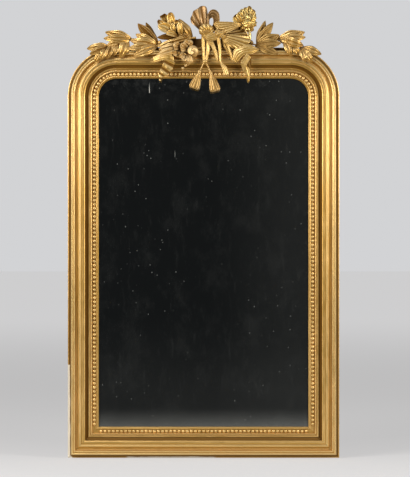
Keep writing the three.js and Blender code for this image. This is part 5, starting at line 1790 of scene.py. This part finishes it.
# ---------------------------------------------------------------------------- carried-over CAD pieces
@dataclass
class Carcass:
    """Pine carcass, boards, slips, backing, iron hardware and the glass: CAD pieces that keep their shape."""

    level_names: tuple[str, ...] = ("rail_bottom", "rail_top", "glass_slip_bottom", "glass_slip_top",
                                    "tenon_rail_left", "tenon_rail_right")

    def dress(self, upright: bpy.types.Material, level: bpy.types.Material, iron: bpy.types.Material,
              glass: bpy.types.Material, backing: bpy.types.Material) -> None:
        """Gives every CAD node its material.

        Args:
            upright: Pine with upright grain.
            level: Pine with level grain.
            iron: The hardware's iron.
            glass: The mirror.
            backing: Dark gilding of the board behind the crest, painted shade for the shadow behind the
                carving.
        """
        for name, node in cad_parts.items():
            look = upright
            if name in self.level_names:
                look = level
            elif name.startswith(("nail", "hanger", "hanging")):
                look = iron
            elif name == "mirror_glass":
                look = glass
            elif name == "crest_backing":
                look = backing
            node.data.materials.clear()
            node.data.materials.append(look)


# ---------------------------------------------------------------------------- studio
@dataclass(frozen=True)
class SoftLight:
    """An area light: its name, place, aim, width and height in metres and its watts."""

    name: str
    place: Place
    aim: Place
    size: Flat
    power: float


@dataclass
class Studio:
    """Pale floor and backdrop, two soft lights at the sides, one above and a long lens straight on."""

    shown_height: float = 1.672
    middle: Flat = (0.005, 0.767)
    distance: float = 9.0
    sensor: float = 36.0
    backdrop: Colour = (0.645, 0.65, 0.665)
    ambient: Colour = (0.135, 0.113, 0.087)
    dark: Colour = (0.020, 0.021, 0.022)
    front_edge: float = 1.0
    reach: float = 30.0
    floor_colours: tuple[Colour, Colour] = ((0.36, 0.36, 0.365), (0.39, 0.39, 0.395))
    floor_glow: Colour = (0.62, 0.625, 0.64)
    warm: Colour = (1.0, 0.965, 0.92)
    lights: tuple[SoftLight, ...] = (
        SoftLight("soft_left", (-2.1, -1.9, 1.37), (0, 0, 1.2), (0.9, 0.9), 42),
        SoftLight("soft_right", (2.1, -1.9, 1.37), (0, 0, 1.2), (0.9, 0.9), 43),
        SoftLight("soft_above", (-1.0, -1.8, 2.8), (0, 0, 1.4), (0.7, 0.7), 20),
    )

    def camera(self) -> None:
        """Places the camera at the photograph's angle."""
        lens = bpy.data.cameras.new("camera")
        lens.sensor_width = self.sensor
        lens.lens = self.sensor * self.distance / self.shown_height
        lens.clip_end = 60
        camera = bpy.data.objects.new("camera", lens)
        camera.location = (self.middle[0], -self.distance, self.middle[1])
        camera.rotation_euler = (math.pi / 2, 0, 0)
        bpy.context.collection.objects.link(camera)
        bpy.context.scene.camera = camera

    def light(self, soft: SoftLight) -> None:
        """Adds one soft light.

        Args:
            soft: The light.
        """
        data = bpy.data.lights.new(soft.name, "AREA")
        data.shape = "RECTANGLE"
        data.size, data.size_y = soft.size
        data.energy = soft.power
        data.color = self.warm
        lamp = bpy.data.objects.new(soft.name, data)
        lamp.location = soft.place
        lamp.rotation_euler = (Vector(soft.aim) - Vector(soft.place)).to_track_quat("-Z", "Y").to_euler()
        bpy.context.collection.objects.link(lamp)

    def world(self) -> None:
        """A pale backdrop behind the object; reflections see the dark side of the studio."""
        world = bpy.data.worlds.new("studio")
        bpy.context.scene.world = world
        world.use_nodes = True
        tree = world.node_tree
        tree.nodes.clear()
        output = tree.nodes.new("ShaderNodeOutputWorld")
        path = tree.nodes.new("ShaderNodeLightPath")
        shown = tree.nodes.new("ShaderNodeBackground")
        shown.inputs[0].default_value = (*self.ambient, 1)
        for ray, colour in (("Is Camera Ray", self.backdrop), ("Is Glossy Ray", self.dark)):
            light = tree.nodes.new("ShaderNodeBackground")
            light.inputs[0].default_value = (*colour, 1)
            mix = tree.nodes.new("ShaderNodeMixShader")
            tree.links.new(path.outputs[ray], mix.inputs[0])
            tree.links.new(shown.outputs[0], mix.inputs[1])
            tree.links.new(light.outputs[0], mix.inputs[2])
            shown = mix
        tree.links.new(shown.outputs[0], output.inputs[0])

    def floor(self) -> None:
        """Adds the plain pale floor."""
        bm = bmesh.new()
        bmesh.ops.create_grid(bm, x_segments=1, y_segments=1, size=self.reach)
        bmesh.ops.translate(bm, verts=bm.verts[:], vec=(0, self.reach - self.front_edge, 0))
        mesh = bpy.data.meshes.new("floor")
        bm.to_mesh(mesh)
        bm.free()
        floor = bpy.data.objects.new("floor", mesh)
        bpy.context.collection.objects.link(floor)
        shader = Shader("pale_floor")
        speckle = shader.noise(40, 3, 0.5)
        colour = shader.blend(speckle, *self.floor_colours)
        far = shader.step(shader.axis("Y"), 3.0, 16.0)
        glow = shader.math("ADD", 0.72, shader.math("MULTIPLY", far, 0.20))
        mesh.materials.append(shader.dress(Base_Color=colour, Roughness=0.95, Metallic=0.0,
                                           Emission_Color=self.floor_glow, Emission_Strength=glow))

    def build(self) -> None:
        """Sets up floor, world, lights and camera."""
        bpy.context.scene.view_settings.view_transform = "Standard"
        self.floor()
        self.world()
        for soft in self.lights:
            self.light(soft)
        self.camera()


# ---------------------------------------------------------------------------- the whole
def main() -> None:
    """Builds the looks of the mirror in order and reports each piece."""
    logging.basicConfig(level=logging.INFO, format="%(name)s %(message)s")
    studio = Studio()
    studio.build()
    sizes = FrameSizes()
    upright = GiltFinish("gilding_upright", run=(1, 1, 0.18), chipped=True).material()
    level = GiltFinish("gilding_level", run=(0.18, 1, 1), chipped=True, upper=0.5,
                       hollow_dirt_and_shade=0.86).material()
    turned = GiltFinish("gilding_turned", upper=0.5, hollow_dirt_and_shade=0.90).material()
    pearl = GiltFinish("gilding_pearls", patch_scale=14, rubbing=0.35, hollow_dirt_and_shade=0.62).material()
    carved = CrestGilt("gilding_carved", (0.88, 0.59, 0.23), (0.45, 0.23, 0.033), metal=0.66,
                       roughness=(0.26, 0.44), rubbing=0.45).material()
    fresh = CrestGilt("gilding_fresh", (1.0, 0.82, 0.33), (0.82, 0.48, 0.085), metal=0.66,
                      roughness=(0.26, 0.42), rubbing=0.2, polish_and_highlight=0.3, crevice=0.013).material()
    silk = CrestGilt("gilding_ribbon", (0.94, 0.68, 0.29), (0.55, 0.31, 0.056), metal=0.64,
                     roughness=(0.33, 0.48), upper=0.3, crevice=0.030).material()
    cord = CrestGilt("gilding_tassels", (0.84, 0.57, 0.25), (0.48, 0.25, 0.035), metal=0.62,
                     roughness=(0.34, 0.50), polish_and_highlight=0.1, upper=0.0, crevice=0.020).material()
    # Darker, rougher copy of the crest gilding for the right inner spray: painted shade.
    shaded_leaves = CrestGilt("gilding_olive", (0.52, 0.33, 0.11), (0.24, 0.125, 0.02), metal=0.60,
                      roughness=(0.36, 0.54), rubbing=0.4).material()
    rosy = CrestGilt("gilding_rosy", (1.0, 0.80, 0.38), (0.76, 0.45, 0.10), metal=0.62,
                     roughness=(0.24, 0.40), upper=0.4, crevice=0.018).material()
    # Darker copy of the gilding for the upright loops: painted shade for the shadow they lie in.
    shadowed = CrestGilt("gilding_dim", (0.50, 0.30, 0.14), (0.20, 0.10, 0.03), metal=0.60,
                    roughness=(0.30, 0.48), rubbing=0.4).material()
    Moulding(sizes).build(upright, level, turned)
    Pearls(sizes).build(pearl)
    for spray in SPRAYS:
        spray.build(sizes.height, shaded_leaves if spray.name == "spray_right_inner" else carved)
    blossoms = Blossoms(sizes.height)
    blossoms.left(carved, rosy)
    blossoms.right(fresh)
    blossoms.rosebuds(CrestGilt("gilding_buds", (0.96, 0.72, 0.36), (0.60, 0.34, 0.09), metal=0.56,
                                roughness=(0.42, 0.58), polish_and_highlight=0.1, upper=0.3, crevice=0.018).material())
    Ribbons(sizes.height).build(silk, shadowed, cord)
    Carcass().dress(PineFinish("pine_upright", (1, 1, 0.06)).material(),
                    PineFinish("pine_level", (0.06, 1, 1)).material(),
                    IronFinish().material(), MirrorFinish().material(),
                    # The board behind the crest is painted dark: painted shade behind the carving.
                    GiltFinish("gilding_backing", (0.30, 0.17, 0.05), (0.15, 0.08, 0.025),
                               rubbing=0.8).material())


if __name__ == "__main__":
    main()
